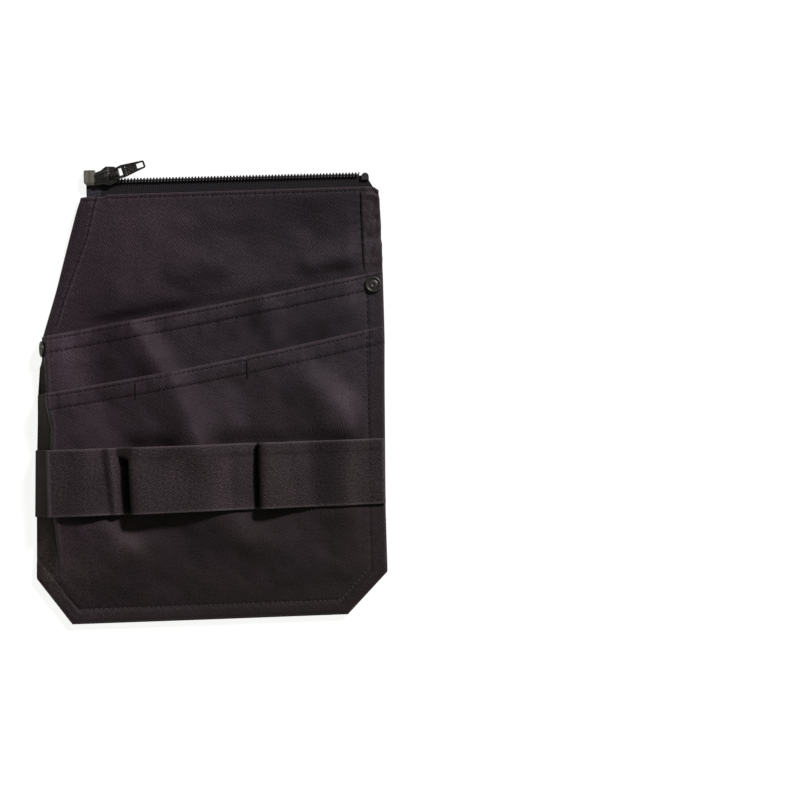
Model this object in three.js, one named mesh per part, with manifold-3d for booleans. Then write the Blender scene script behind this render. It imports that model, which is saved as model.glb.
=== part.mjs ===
// A zip-on tool pouch of dark cotton twill, lying on its back: a back panel with half a zip along
// its top edge, two slanted pockets one over the other, a strip that stands up in three tool loops,
// and two rivets at the upper pocket's corners. Millimetres: +X to the right, +Y towards the zip,
// +Z up from the surface that it lies on.
import * as THREE from 'three';
import { mergeVertices } from 'three/addons/utils/BufferGeometryUtils.js';
import Module from 'manifold-3d';

const wasm = await Module();
wasm.setup();

const { lerp, clamp, smoothstep, degToRad } = THREE.MathUtils;

// Cloth layers
const CLOTH = 1.2; // one layer of twill
const GAP = 0.3; // clear space between neighbouring pieces
const HEM_EXTRA = 0.9; // a folded hem is this much thicker than the cloth
const SIDE_HEM = 9.5; // width of the back panel's left and right hems
const BOTTOM_HEM = 8; // width of the bottom hem, where all the layers lie flat
const SEAM = 9; // width of the flat seam down the right edge

// Ends of the sections across the back panel, bottom to top; rows is the number of grid rows
// up to the next section
const PANEL_SECTIONS = [
  { leftX: -79.5, leftY: 0, rightX: 78.5, rightY: 1.8, rows: 2 },
  { leftX: -99, leftY: 26.5, rightX: 101.6, rightY: 25.6, rows: 1 },
  { leftX: -98.2, leftY: 62, rightX: 101.4, rightY: 62, rows: 2 },
  { leftX: -96, leftY: 131.5, rightX: 102.6, rightY: 131.5, rows: 1 },
  { leftX: -94.6, leftY: 147.5, rightX: 103.1, rightY: 152, rows: 1 },
  { leftX: -93.1, leftY: 151.5, rightX: 103.3, rightY: 158, rows: 1 },
  { leftX: -92.4, leftY: 165, rightX: 103.3, rightY: 171, rows: 3 },
  { leftX: -84, leftY: 191.4, rightX: 103.2, rightY: 196, rows: 2 },
  { leftX: -77.7, leftY: 213.7, rightX: 102.6, rightY: 216, rows: 2 },
  { leftX: -71.7, leftY: 234.2, rightX: 102.3, rightY: 235.2, rows: 1 },
  { leftX: -70.8, leftY: 237.2, rightX: 102.3, rightY: 238.2, rows: 1 },
  { leftX: -68.4, leftY: 245.5, rightX: 102, rightY: 246.5, rows: 1 },
];
const PANEL_COLUMNS = 17; // grid columns between the two side hems
const HEM_STEP = 1.5; // width over which a side hem's thickness falls to the cloth's
const HEM_START = { from: 1, to: 8 }; // the side hems thicken over this distance above the upper mouth
const TOP_HEM = { from: 234.2, to: 237.2 }; // the top hem thickens between these heights
const FLAT_TOP = { from: 213, to: 234 }; // the panel's folds die out between these heights

// A pocket's left side at each height y: its outer edge, the height of its lower rim above the
// surface, and the run and rise of the wall up to the fold
const UPPER_WALL = [
  { y: 0, left: -79.5, foot: 2.1, run: 14, rise: 0 },
  { y: 8.5, left: -85.75, foot: 2.1, run: 14, rise: 0 },
  { y: 26.5, left: -99, foot: 2.1, run: 12, rise: 2 },
  { y: 45, left: -95.4, foot: 2.1, run: 7, rise: 4.6 },
  { y: 62, left: -95, foot: 2.1, run: 6, rise: 5.4 },
  { y: 100, left: -94.4, foot: 2.1, run: 5, rise: 6 },
  { y: 131.5, left: -94, foot: 2.1, run: 4.6, rise: 7.4 },
  { y: 147.5, left: -94, foot: 2.1, run: 4.1, rise: 9 },
  { y: 151.5, left: -92.9, foot: 2.1, run: 2.9, rise: 9.5 },
  { y: 165, left: -92.5, foot: 2.1, run: 2.6, rise: 9.4 },
];
const LOWER_WALL = [
  { y: 0, left: -79.5, foot: 3.6, run: 14, rise: 0 },
  { y: 8.5, left: -85.75, foot: 3.6, run: 14, rise: 0 },
  { y: 26.5, left: -99, foot: 3.6, run: 14, rise: 5.4 },
  { y: 45, left: -98.6, foot: 2.1, run: 13.5, rise: 10.5 },
  { y: 62, left: -98.2, foot: 2.1, run: 12, rise: 13.2 },
  { y: 100, left: -97, foot: 2.1, run: 10, rise: 14.4 },
  { y: 113, left: -96.4, foot: 2.1, run: 10.2, rise: 14.7 },
  { y: 119, left: -96.2, foot: 2.1, run: 8.6, rise: 14.9 },
  { y: 125, left: -96, foot: 2.1, run: 7.2, rise: 15 },
  { y: 131.5, left: -95.8, foot: 2.1, run: 6.4, rise: 15 },
];
const WALL_ROUND = 1.35; // how soon the side wall bends over into the front
const FRONT_FALL = 1.5; // how the front falls from the fold to the right seam

// Heights of the left and right ends of each pocket's grid rows, bottom to mouth; hem is 1 where
// the cloth is doubled, and sag how far the row dips between its ends
const UPPER_ROWS = [
  { leftY: 0, rightY: 1.8, hem: 0, sag: 0, rows: 1 },
  { leftY: 8.5, rightY: 9.4, hem: 0, sag: 0, rows: 2 },
  { leftY: 26.5, rightY: 25.6, hem: 0, sag: 0, rows: 2 },
  { leftY: 62, rightY: 62, hem: 0, sag: 0, rows: 2 },
  { leftY: 114, rightY: 135, hem: 0, sag: 1, rows: 5 },
  { leftY: 154.2, rightY: 187.4, hem: 0, sag: 1, rows: 1 },
  { leftY: 155.4, rightY: 188.8, hem: 1, sag: 1, rows: 1 },
  { leftY: 164.7, rightY: 198.1, hem: 1, sag: 1, rows: 1 },
];
const LOWER_ROWS = [
  { leftY: 0, rightY: 1.8, hem: 0, sag: 0, rows: 1 },
  { leftY: 8.5, rightY: 9.4, hem: 0, sag: 0, rows: 2 },
  { leftY: 26.5, rightY: 25.6, hem: 0, sag: 0, rows: 5 },
  { leftY: 62, rightY: 62, hem: 0, sag: 0, rows: 5 },
  { leftY: 97, rightY: 103, hem: 0, sag: 0, rows: 4 },
  { leftY: 121, rightY: 155.6, hem: 0, sag: 2, rows: 1 },
  { leftY: 122.2, rightY: 157, hem: 1, sag: 2, rows: 1 },
  { leftY: 131.5, rightY: 166.3, hem: 1, sag: 2, rows: 1 },
];
const WALL_COLUMNS = 5; // grid columns up the side wall
const WALL_SPREAD = 1.35; // these columns reach this many runs in from the wall's edge
const WALL_EASE = 1.3; // and lie closer together at its foot
const FRONT_COLUMNS = 19; // grid columns from the fold to the right edge

// Folds: each is a ridge (height above 0) or a dent along a line, fading over its own width on the
// left and on the right of that line
const PANEL_FOLDS = [
  { x0: -66, y0: 181, x1: -22, y1: 188, left: 26, right: 9, height: 2.3 },
  { x0: -5, y0: 202, x1: 8, y1: 205, left: 16, right: 10, height: 3 },
  { x0: 62, y0: 203.5, x1: 90, y1: 206.5, left: 9, right: 4.5, height: 2.3 },
];
const UPPER_FOLDS = [
  { x0: -68, y0: 170, x1: -64, y1: 138, left: 13, right: 15, height: -3 },
  { x0: -40, y0: 168, x1: -21, y1: 138, left: 7, right: 13, height: 4.6 },
  { x0: 35, y0: 178, x1: 40, y1: 160, left: 8, right: 8, height: 1.4 },
  { x0: 79, y0: 190, x1: 81, y1: 181, left: 8, right: 15, height: 2 },
];
const LOWER_FOLDS = [
  { x0: -58, y0: 128, x1: -50, y1: 104, left: 11, right: 12, height: -2.2 },
  { x0: -18, y0: 136, x1: -2, y1: 98, left: 7.5, right: 14, height: 4.8 },
  { x0: -2, y0: 98, x1: 2, y1: 64, left: 10, right: 15, height: 2 },
  { x0: 20, y0: 134, x1: 26, y1: 106, left: 9, right: 9, height: -1.6 },
  { x0: 63, y0: 135, x1: 87, y1: 112, left: 7, right: 15, height: 4.8 },
  { x0: 80, y0: 102, x1: 79, y1: 66, left: 8, right: 15, height: 3.8 },
  { x0: -57, y0: 51, x1: -44, y1: 40, left: 8, right: 20, height: 4.2 },
  { x0: -20, y0: 56, x1: -10, y1: 38, left: 9, right: 9, height: -1.2 },
  { x0: 12, y0: 58, x1: 22, y1: 46, left: 8, right: 12, height: 2.2 },
];
const FOLD_FADE = 16; // folds fade out over this distance from the walls and seams

// The strip of tool loops: the heights of its edges at the two ends, and for each loop where it
// leaves and meets the pocket, with the places and heights that pull its curve out
const STRIP_ENDS = { lowLeft: 62, lowRight: 64.9, highLeft: 99.8, highRight: 101.8 };
const STRIP_ROWS = 8;
const STRIP_END_X = 101.6;
const STRIP_CLEAR = 2.2; // from the middle of the pocket's wall to the middle of the strip's
const STRIP_WRAP = 1.05; // the strip follows the wall for this many runs from its edge
const LOOPS = [
  { start: -85, pull1X: -82, pull1Z: 5, pull2X: -57, pull2Z: 10.5, end: -49, steps: 12 },
  { start: -43.4, pull1X: -47, pull1Z: 18, pull2X: -38, pull2Z: 10, end: 24.5, steps: 14 },
  { start: 30.4, pull1X: 29.2, pull1Z: 11, pull2X: 37, pull2Z: 8, end: 58, steps: 10 },
];

// Half zip: the tape lies between the lips of the top hem, the teeth lie on the tape's edge
const TOP_LIP = 4; // top of the hem's upper lip
const SLOT_LOW = CLOTH; // the slot between the lips
const SLOT_HIGH = 2.8;
const SLOT_FLOOR_Y = 238.6; // the slot's inner end
const TAPE = { left: -66.2, right: 98.6, low: 239, high: 253, slantX: 95, slantY: 247 };
const TAPE_Z = SLOT_LOW + GAP;
const TAPE_THICK = 1;
const TEETH = { left: -59.8, right: 91.6, root: 252.2, notch: 253, tip: 254.8, pitch: 1.84 };
const TEETH_Z = SLOT_HIGH;
const TEETH_THICK = 2;

// Slider: its centre, the turn of its axis from the zip's, the corners of its outline (along the axis
// from the narrow end to the wide one, and out to each side), and its plates
const SLIDER = { x: -53.25, y: 256.2, turn: 13 };
const SLIDER_SIDE = [[-8.6, 3.4], [-2.9, 4], [0.75, 5.6], [5.4, 4.3], [7.2, 2.6]];
const SLIDER_SPACE = 0.35; // left between the box and the slider's narrow end
const SLIDER_LOW = 0.3;
const SLIDER_PLATE = 0.9;
const SLIDER_HIGH = 6;
const CHANNEL = { low: 251.9, high: 255.1 }; // the teeth's channel, along the zip
const ARCH = { along: 4.6, half: 2.4, leg: 1.15, rise: 3, bar: 1, width: 2.6, bevel: 0.8 };
const CROWN = { back: -5.4, front: 1.6, half: 2.3, rise: 0.6, edge: 0.8 };

// Pull tab, lying to the right from the arch
const PULL = { turn: 17.5, length: 18.4, thick: 1.2, bar: 0.65, rootHalf: 3, tipHalf: 2.2 };
const PULL_SHOULDER = { along: 5, half: 3.75 }; // where it is widest
const PULL_Z = SLIDER_HIGH + 1; // height of the axis that it turns on
const PULL_EYE = { near: 0.65, far: 4.7, half: 2.1 };
const PULL_WINDOW = { near: 13.6, far: 17.3, half: 1.35 };
const PULL_RIDGE = { along: 5.25, width: 1, half: 2.75, rise: 0.35 };
const PULL_CORNER = 0.6;

const BOX = { left: -66.6, right: -60.2, low: 251.2, high: 260, bottom: 0.4, top: 5, corner: 1.6 };
const BOX_SOCKET = { low: 256.2, high: 258.8, bottom: 1.5, top: 4, depth: 4.6 };
const STOP = { left: 92.6, right: 96.9, low: 250.6, high: 254.7, bottom: 0.6, top: 4.4 };

// Rivets: a dished cap on a shank through the upper pocket
const RIVET = { radius: 4.65, rim: 0.9, crown: 1.9, dish: 1.1, shank: 1.2, sides: 20 };
const RIVET_STEPS = { edge: 0.6, lip: 1.3, floor: 2.6 }; // in from the radius, across the cap's top
const RIVET_RIGHT = { x: 97.9, y: 190.4 };
const RIVET_LEFT = { y: 158, up: 0.5 }; // up is the share of the side wall below it

const TWILL = { color: 0x2f282b, roughness: 0.92, metalness: 0 };
const TWILL_STRIP = { color: 0x332b2e, roughness: 0.9, metalness: 0 };
const TAPE_FINISH = { color: 0x26232a, roughness: 0.9, metalness: 0 };
const COIL = { color: 0x222023, roughness: 0.5, metalness: 0 };
const BOX_FINISH = { color: 0x5a5850, roughness: 0.45, metalness: 0.6 };
const BLACK_METAL = { color: 0x2c2b2b, roughness: 0.42, metalness: 0.8 };
const ANTIQUE = { color: 0x3d3834, roughness: 0.4, metalness: 0.9 };

const point = (x, y, z) => new THREE.Vector3(x, y, z);

/** The row of a table at height y, each column interpolated between the rows beside it. */
function tableAt(table, key, value) {
  const last = table.length - 1;
  if (value <= table[0][key]) return table[0];
  if (value >= table[last][key]) return table[last];
  const i = table.findIndex((row) => row[key] > value) - 1;
  return mixRows(table[i], table[i + 1], (value - table[i][key]) / (table[i + 1][key] - table[i][key]));
}

/** A row a share of the way from one table row to the next. */
function mixRows(from, to, share) {
  return Object.fromEntries(Object.keys(from).map((key) => [key, lerp(from[key], to[key], share)]));
}

/** All the grid rows of a table of sections, each section divided into its number of rows. */
function layRows(sections) {
  const between = sections.slice(0, -1).flatMap((section, i) =>
    Array.from({ length: section.rows }, (_, k) => mixRows(section, sections[i + 1], k / section.rows)));
  return [...between, sections.at(-1)];
}

/** How far a place lies above the line of the upper pocket's mouth. */
function aboveMouth(x, y) {
  const mouth = UPPER_ROWS.at(-1);
  const left = tableAt(UPPER_WALL, 'y', mouth.leftY).left;
  const right = tableAt(PANEL_SECTIONS, 'rightY', mouth.rightY).rightX;
  return y - lerp(mouth.leftY, mouth.rightY, (x - left) / (right - left));
}

/** The right edge of all the layers at height y. */
const rightEdge = (y) => tableAt(PANEL_SECTIONS, 'rightY', y).rightX;

/**
 * Sum of the folds at a place: each is its height times exp(-(distance / width) squared), with a
 * width that turns from the left one to the right one round the line's ends.
 */
function foldHeight(folds, x, y) {
  return folds.reduce((sum, fold) => {
    const along = point(fold.x1 - fold.x0, fold.y1 - fold.y0, 0);
    const from = point(x - fold.x0, y - fold.y0, 0);
    const off = from.addScaledVector(along, -clamp(from.dot(along) / along.lengthSq(), 0, 1));
    const distance = off.length();
    const side = distance > 0 ? along.clone().cross(off).z / (along.length() * distance) : 0;
    const width = lerp(fold.right, fold.left, (1 + side) / 2);
    return sum + fold.height * Math.exp(-((distance / width) ** 2));
  }, 0);
}

/** Height of the middle of a pocket's cloth: up the side wall, then falling to the right seam. */
function pocketHeight(wallTable, folds, x, y) {
  const wall = tableAt(wallTable, 'y', y);
  const right = rightEdge(y) - SEAM;
  const inward = x - wall.left;
  const climb = 1 - (1 - clamp(inward / wall.run, 0, 1)) ** WALL_ROUND;
  const fall = 1 - clamp((inward - wall.run) / (right - wall.left - wall.run), 0, 1) ** FRONT_FALL;
  const seat = lerp(wall.foot, wallTable[0].foot, smoothstep(inward, 0, wall.run));
  const free = smoothstep(inward, wall.run * 0.5, wall.run + FOLD_FADE)
    * (1 - smoothstep(x, right - FOLD_FADE, right))
    * smoothstep(y, BOTTOM_HEM, BOTTOM_HEM + FOLD_FADE);
  return seat + wall.rise * climb * fall + free * foldHeight(folds, x, y);
}

const upperHeight = (x, y) => pocketHeight(UPPER_WALL, UPPER_FOLDS, x, y);
const lowerHeight = (x, y) => pocketHeight(LOWER_WALL, LOWER_FOLDS, x, y);

/** A geometry from a list of points and triples of their numbers. */
function meshOf(points, triangles) {
  const geometry = new THREE.BufferGeometry().setFromPoints(points);
  geometry.setIndex(triangles.flat());
  geometry.computeVertexNormals();
  return geometry;
}

/** A closed sheet: a grid of points on its front, the same on its back, and a rim round the two. */
function closedSheet(front, back) {
  const rows = front.length;
  const columns = front[0].length;
  const at = (side, r, c) => (side * rows + r) * columns + c;
  const quads = [];
  for (let r = 0; r + 1 < rows; r++) {
    for (let c = 0; c + 1 < columns; c++) {
      quads.push([at(0, r, c), at(0, r, c + 1), at(0, r + 1, c + 1), at(0, r + 1, c)]);
      quads.push([at(1, r, c), at(1, r + 1, c), at(1, r + 1, c + 1), at(1, r, c + 1)]);
    }
  }
  const rim = [
    ...Array.from({ length: columns - 1 }, (_, c) => [0, c]),
    ...Array.from({ length: rows - 1 }, (_, r) => [r, columns - 1]),
    ...Array.from({ length: columns - 1 }, (_, c) => [rows - 1, columns - 1 - c]),
    ...Array.from({ length: rows - 1 }, (_, r) => [rows - 1 - r, 0]),
  ];
  rim.forEach(([r, c], i) => {
    const [nextR, nextC] = rim[(i + 1) % rim.length];
    quads.push([at(0, r, c), at(1, r, c), at(1, nextR, nextC), at(0, nextR, nextC)]);
  });
  return meshOf([...front.flat(), ...back.flat()], quads.flatMap(([a, b, c, d]) => [[a, b, c], [a, c, d]]));
}

/** Normals at a grid's points, lengthened at bends so that the offset walls keep their distance. */
function gridNormals(grid) {
  const rows = grid.length;
  const columns = grid[0].length;
  const faceNormal = (r, c) => {
    const across = grid[r + 1][c + 1].clone().sub(grid[r][c]);
    const up = grid[r + 1][c].clone().sub(grid[r][c + 1]);
    return across.cross(up).normalize();
  };
  return grid.map((line, r) => line.map((_, c) => {
    const faces = [[r - 1, c - 1], [r - 1, c], [r, c - 1], [r, c]]
      .filter(([i, j]) => i >= 0 && j >= 0 && i < rows - 1 && j < columns - 1)
      .map(([i, j]) => faceNormal(i, j));
    const normal = faces.reduce((sum, n) => sum.add(n), point(0, 0, 0)).normalize();
    const lean = faces.reduce((sum, n) => sum + n.dot(normal), 0) / faces.length;
    return normal.divideScalar(Math.max(lean, 0.6));
  }));
}

/** A closed sheet round a grid of middle points, half a layer to the front and the rest behind. */
function thicken(grid, thickness) {
  const normals = gridNormals(grid);
  const offset = (distance) => grid.map((line, r) =>
    line.map((p, c) => p.clone().addScaledVector(normals[r][c], distance(r, c))));
  return closedSheet(offset(() => CLOTH / 2), offset((r, c) => CLOTH / 2 - thickness(r, c)));
}

/** A solid for the joins and cuts from a closed geometry. */
function solidOf(geometry) {
  const bare = geometry.clone();
  bare.deleteAttribute('normal');
  bare.deleteAttribute('uv');
  const merged = mergeVertices(bare, 1e-4);
  return new wasm.Manifold(new wasm.Mesh({
    numProp: 3,
    vertProperties: new Float32Array(merged.attributes.position.array),
    triVerts: new Uint32Array(merged.index.array),
  }));
}

/** A geometry from a solid. */
function geometryOf(solid) {
  const mesh = solid.getMesh();
  const geometry = new THREE.BufferGeometry();
  geometry.setAttribute('position', new THREE.BufferAttribute(new Float32Array(mesh.vertProperties), 3));
  geometry.setIndex(new THREE.BufferAttribute(new Uint32Array(mesh.triVerts), 1));
  geometry.computeVertexNormals();
  return geometry;
}

/** A block between two corners. */
function block(x0, y0, z0, x1, y1, z1) {
  return new THREE.BoxGeometry(x1 - x0, y1 - y0, z1 - z0)
    .translate((x0 + x1) / 2, (y0 + y1) / 2, (z0 + z1) / 2);
}

/** An outline in plan, raised from one height to another. */
function plate(outline, z0, z1, holes = []) {
  const shape = new THREE.Shape(outline.map(([x, y]) => new THREE.Vector2(x, y)));
  holes.forEach((hole) => shape.holes.push(new THREE.Path(hole.map(([x, y]) => new THREE.Vector2(x, y)))));
  return new THREE.ExtrudeGeometry(shape, { depth: z1 - z0, bevelEnabled: false }).translate(0, 0, z0);
}

/** Back panel: flat under the pockets, with soft folds above them, doubled at its hems. */
function makeBackPanel() {
  const rows = layRows(PANEL_SECTIONS);
  const shares = Array.from({ length: PANEL_COLUMNS + 1 }, (_, c) => c / PANEL_COLUMNS);
  const front = rows.map((row) => {
    const width = row.rightX - row.leftX;
    const inner = shares.map((share) => lerp(SIDE_HEM + HEM_STEP, width - SIDE_HEM - HEM_STEP, share));
    return [0, SIDE_HEM, ...inner, width - SIDE_HEM, width].map((inward) => {
      const share = inward / width;
      const x = row.leftX + inward;
      const y = lerp(row.leftY, row.rightY, share);
      const edge = Math.min(inward, width - inward);
      const open = aboveMouth(x, y);
      const sideHem = HEM_EXTRA * smoothstep(open, HEM_START.from, HEM_START.to)
        * (1 - smoothstep(edge, SIDE_HEM, SIDE_HEM + HEM_STEP));
      const topHem = (TOP_LIP - CLOTH) * smoothstep(row.leftY, TOP_HEM.from, TOP_HEM.to);
      const free = smoothstep(open, HEM_START.from, FOLD_FADE)
        * smoothstep(edge, SIDE_HEM, SIDE_HEM + FOLD_FADE)
        * (1 - smoothstep(row.leftY, FLAT_TOP.from, FLAT_TOP.to));
      const lift = free * foldHeight(PANEL_FOLDS, x, y);
      return { x, y, lift, thick: CLOTH + Math.max(sideHem, topHem) };
    });
  });
  const side = (height) => front.map((line) => line.map((p) => point(p.x, p.y, height(p))));
  const sheet = closedSheet(side((p) => p.lift + p.thick), side((p) => p.lift));
  const beyond = 150;
  const slot = block(-beyond, SLOT_FLOOR_Y, SLOT_LOW, beyond, SLOT_FLOOR_Y + beyond, SLOT_HIGH);
  return geometryOf(solidOf(sheet).subtract(solidOf(slot)));
}

/** A pocket: its grid rows run from the side wall's foot to the right edge. */
function makePocket(rowTable, wallTable, height) {
  const rows = layRows(rowTable);
  const grid = rows.map((row) => {
    const wall = tableAt(wallTable, 'y', row.leftY);
    const right = rightEdge(row.rightY);
    const wallWidth = wall.run * WALL_SPREAD;
    const inward = [
      ...Array.from({ length: WALL_COLUMNS }, (_, c) => wallWidth * (c / WALL_COLUMNS) ** WALL_EASE),
      ...Array.from({ length: FRONT_COLUMNS + 1 }, (_, c) =>
        lerp(wallWidth, right - wall.left, c / FRONT_COLUMNS)),
    ];
    return inward.map((distance) => {
      const share = distance / (right - wall.left);
      const x = wall.left + distance;
      const y = lerp(row.leftY, row.rightY, share) - row.sag * Math.sin(Math.PI * share);
      return point(x, y, height(x, y));
    });
  });
  const lastDoubled = WALL_COLUMNS + FRONT_COLUMNS - 4;
  const doubled = (r, c) => (c > WALL_COLUMNS && c <= lastDoubled ? rows[r].hem : 0);
  return thicken(grid, (r, c) => CLOTH + HEM_EXTRA * doubled(r, c));
}

/** Tool loops: the strip wraps the pocket's side wall, then leaves the pocket in three arches. */
function makeLoopStrip() {
  const middleY = (STRIP_ENDS.lowLeft + STRIP_ENDS.highLeft) / 2;
  const wall = tableAt(LOWER_WALL, 'y', middleY);
  const wrapSteps = 7;
  const wrap = Array.from({ length: wrapSteps }, (_, k) => ({ inward: (k / wrapSteps) ** WALL_EASE }));
  const arches = LOOPS.flatMap((loop) => {
    const curve = new THREE.CubicBezierCurve(
      new THREE.Vector2(loop.start, 0), new THREE.Vector2(loop.pull1X, loop.pull1Z),
      new THREE.Vector2(loop.pull2X, loop.pull2Z), new THREE.Vector2(loop.end, 0));
    return curve.getPoints(loop.steps).map((p) => ({ x: p.x, up: p.y }));
  });
  const path = [...wrap, ...arches, { x: (LOOPS[2].end + STRIP_END_X) / 2, up: 0 }, { x: STRIP_END_X, up: 0 }];
  const grid = Array.from({ length: STRIP_ROWS + 1 }, (_, r) => path.map(({ inward, x, up }) => {
    const level = (at) => {
      const share = (at - wall.left) / (STRIP_END_X - wall.left);
      const low = lerp(STRIP_ENDS.lowLeft, STRIP_ENDS.lowRight, share);
      const high = lerp(STRIP_ENDS.highLeft, STRIP_ENDS.highRight, share);
      return lerp(low, high, r / STRIP_ROWS);
    };
    if (inward === undefined) return point(x, level(x), lowerHeight(x, level(x)) + STRIP_CLEAR + up);
    const y = level(wall.left);
    const here = tableAt(LOWER_WALL, 'y', y);
    const onWall = here.left + inward * here.run * STRIP_WRAP;
    const step = 0.1;
    const slope = (lowerHeight(onWall + step, y) - lowerHeight(onWall, y)) / step;
    const out = point(-slope, 0, 1).normalize();
    return point(onWall, y, lowerHeight(onWall, y)).addScaledVector(out, STRIP_CLEAR);
  }));
  return thicken(grid, () => CLOTH);
}

/** Half zip's tape: a flat band with a slanted right end. */
function makeZipTape() {
  return plate([
    [TAPE.left, TAPE.low], [TAPE.right, TAPE.low], [TAPE.right, TAPE.slantY],
    [TAPE.slantX, TAPE.high], [TAPE.left, TAPE.high],
  ], TAPE_Z, TAPE_Z + TAPE_THICK);
}

/** Row of teeth: a rib with one tooth for each turn of the coil. */
function makeZipTeeth() {
  const count = Math.floor((TEETH.right - TEETH.left) / TEETH.pitch);
  const crest = Array.from({ length: count }, (_, k) => {
    const x = TEETH.left + k * TEETH.pitch;
    return [
      [x + 0.1 * TEETH.pitch, TEETH.notch], [x + 0.25 * TEETH.pitch, TEETH.tip],
      [x + 0.65 * TEETH.pitch, TEETH.tip], [x + 0.8 * TEETH.pitch, TEETH.notch],
    ];
  }).flat();
  return plate([
    [TEETH.left, TEETH.root], [TEETH.right, TEETH.root], [TEETH.right, TEETH.notch],
    ...crest.reverse(), [TEETH.left, TEETH.notch],
  ], TEETH_Z, TEETH_Z + TEETH_THICK);
}

/** Retainer box: chamfered, with a slot for the tape and a socket for the other half's pin. */
function makeZipBox() {
  const body = plate([
    [BOX.left + BOX.corner, BOX.low], [BOX.right, BOX.low], [BOX.right, BOX.high],
    [BOX.left + BOX.corner / 3, BOX.high], [BOX.left, BOX.high - BOX.corner / 3],
    [BOX.left, BOX.low + BOX.corner],
  ], BOX.bottom, BOX.top);
  const tapeSlot = block(BOX.left - 1, BOX.low - 1, SLOT_LOW, BOX.right + 1, TAPE.high + GAP, SLOT_HIGH);
  const socket = block(BOX.right - BOX_SOCKET.depth, BOX_SOCKET.low, BOX_SOCKET.bottom,
    BOX.right + 1, BOX_SOCKET.high, BOX_SOCKET.top);
  return geometryOf(solidOf(body).subtract(solidOf(tapeSlot)).subtract(solidOf(socket)));
}

/** Top stop: a round-topped clip over the tape's edge, past the last tooth. */
function makeTopStop() {
  const radius = (STOP.right - STOP.left) / 2;
  const arcSteps = 8;
  const crest = Array.from({ length: arcSteps + 1 }, (_, k) => {
    const turn = (Math.PI * k) / arcSteps;
    return [STOP.left + radius + radius * Math.cos(turn), STOP.high - radius + radius * Math.sin(turn)];
  });
  const body = plate([[STOP.left, STOP.low], [STOP.right, STOP.low], ...crest], STOP.bottom, STOP.top);
  const tapeSlot = block(STOP.left - 1, STOP.low - 1, SLOT_LOW, STOP.right + 1, TAPE.high + GAP, SLOT_HIGH);
  return geometryOf(solidOf(body).subtract(solidOf(tapeSlot)));
}

/** Moves a geometry from the slider's own axes, turned by an angle, to its place on the zip. */
function onSlider(geometry, turn) {
  return geometry.rotateZ(degToRad(turn)).translate(SLIDER.x, SLIDER.y, 0);
}

/** The slider's channels: one along the zip for its own teeth, one mirrored for the other half. */
function sliderChannels() {
  const reach = 30;
  const low = CHANNEL.low - SLIDER.y;
  const high = CHANNEL.high - SLIDER.y;
  const teeth = [-reach, low, SLOT_LOW, reach, high, SLIDER_HIGH - SLIDER_PLATE];
  const tape = [-reach, -reach, SLOT_LOW, reach, low + 0.1, SLOT_HIGH];
  const mirrored = ([x0, y0, z0, x1, y1, z1]) => [x0, -y1, z0, x1, -y0, z1];
  return [
    ...[teeth, tape].map((sizes) => onSlider(block(...sizes), 0)),
    ...[teeth, tape].map((sizes) => onSlider(block(...mirrored(sizes)), 2 * SLIDER.turn)),
  ];
}

/** Slider: two plates with the channels between them, a low crown, and the pull's arch. */
function makeZipSlider() {
  const outline = [...SLIDER_SIDE.map(([along, side]) => [along, -side]), ...[...SLIDER_SIDE].reverse()];
  const reach = 20;
  const besideBox = block(BOX.right - reach, BOX.low - reach, -reach,
    BOX.right + SLIDER_SPACE, BOX.high + reach, reach);
  const body = solidOf(onSlider(plate(outline, SLIDER_LOW, SLIDER_HIGH), SLIDER.turn))
    .subtract(solidOf(besideBox));
  const sink = 0.2;
  const crown = plate([
    [CROWN.back, -CROWN.half + CROWN.edge], [CROWN.back + CROWN.edge, -CROWN.half], [CROWN.front, -CROWN.half],
    [CROWN.front, CROWN.half], [CROWN.back + CROWN.edge, CROWN.half], [CROWN.back, CROWN.half - CROWN.edge],
  ], SLIDER_HIGH - sink, SLIDER_HIGH + CROWN.rise);
  const inside = ARCH.half - ARCH.leg;
  const archSide = plate([
    [-ARCH.half, -sink], [-inside, -sink], [-inside, ARCH.rise - ARCH.bar], [inside, ARCH.rise - ARCH.bar],
    [inside, -sink], [ARCH.half, -sink], [ARCH.half, ARCH.rise - ARCH.bevel],
    [ARCH.half - ARCH.bevel, ARCH.rise], [-ARCH.half + ARCH.bevel, ARCH.rise],
    [-ARCH.half, ARCH.rise - ARCH.bevel],
  ], -ARCH.width / 2, ARCH.width / 2);
  const arch = archSide.rotateX(Math.PI / 2).translate(ARCH.along, 0, SLIDER_HIGH);
  const joined = body.add(solidOf(onSlider(crown, SLIDER.turn))).add(solidOf(onSlider(arch, SLIDER.turn)));
  return geometryOf(sliderChannels().reduce((solid, cut) => solid.subtract(solidOf(cut)), joined));
}

/** Place of the pull's axis on the slider, in plan. */
function pullPlace() {
  const turn = degToRad(SLIDER.turn);
  return { x: SLIDER.x + ARCH.along * Math.cos(turn), y: SLIDER.y + ARCH.along * Math.sin(turn) };
}

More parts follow.
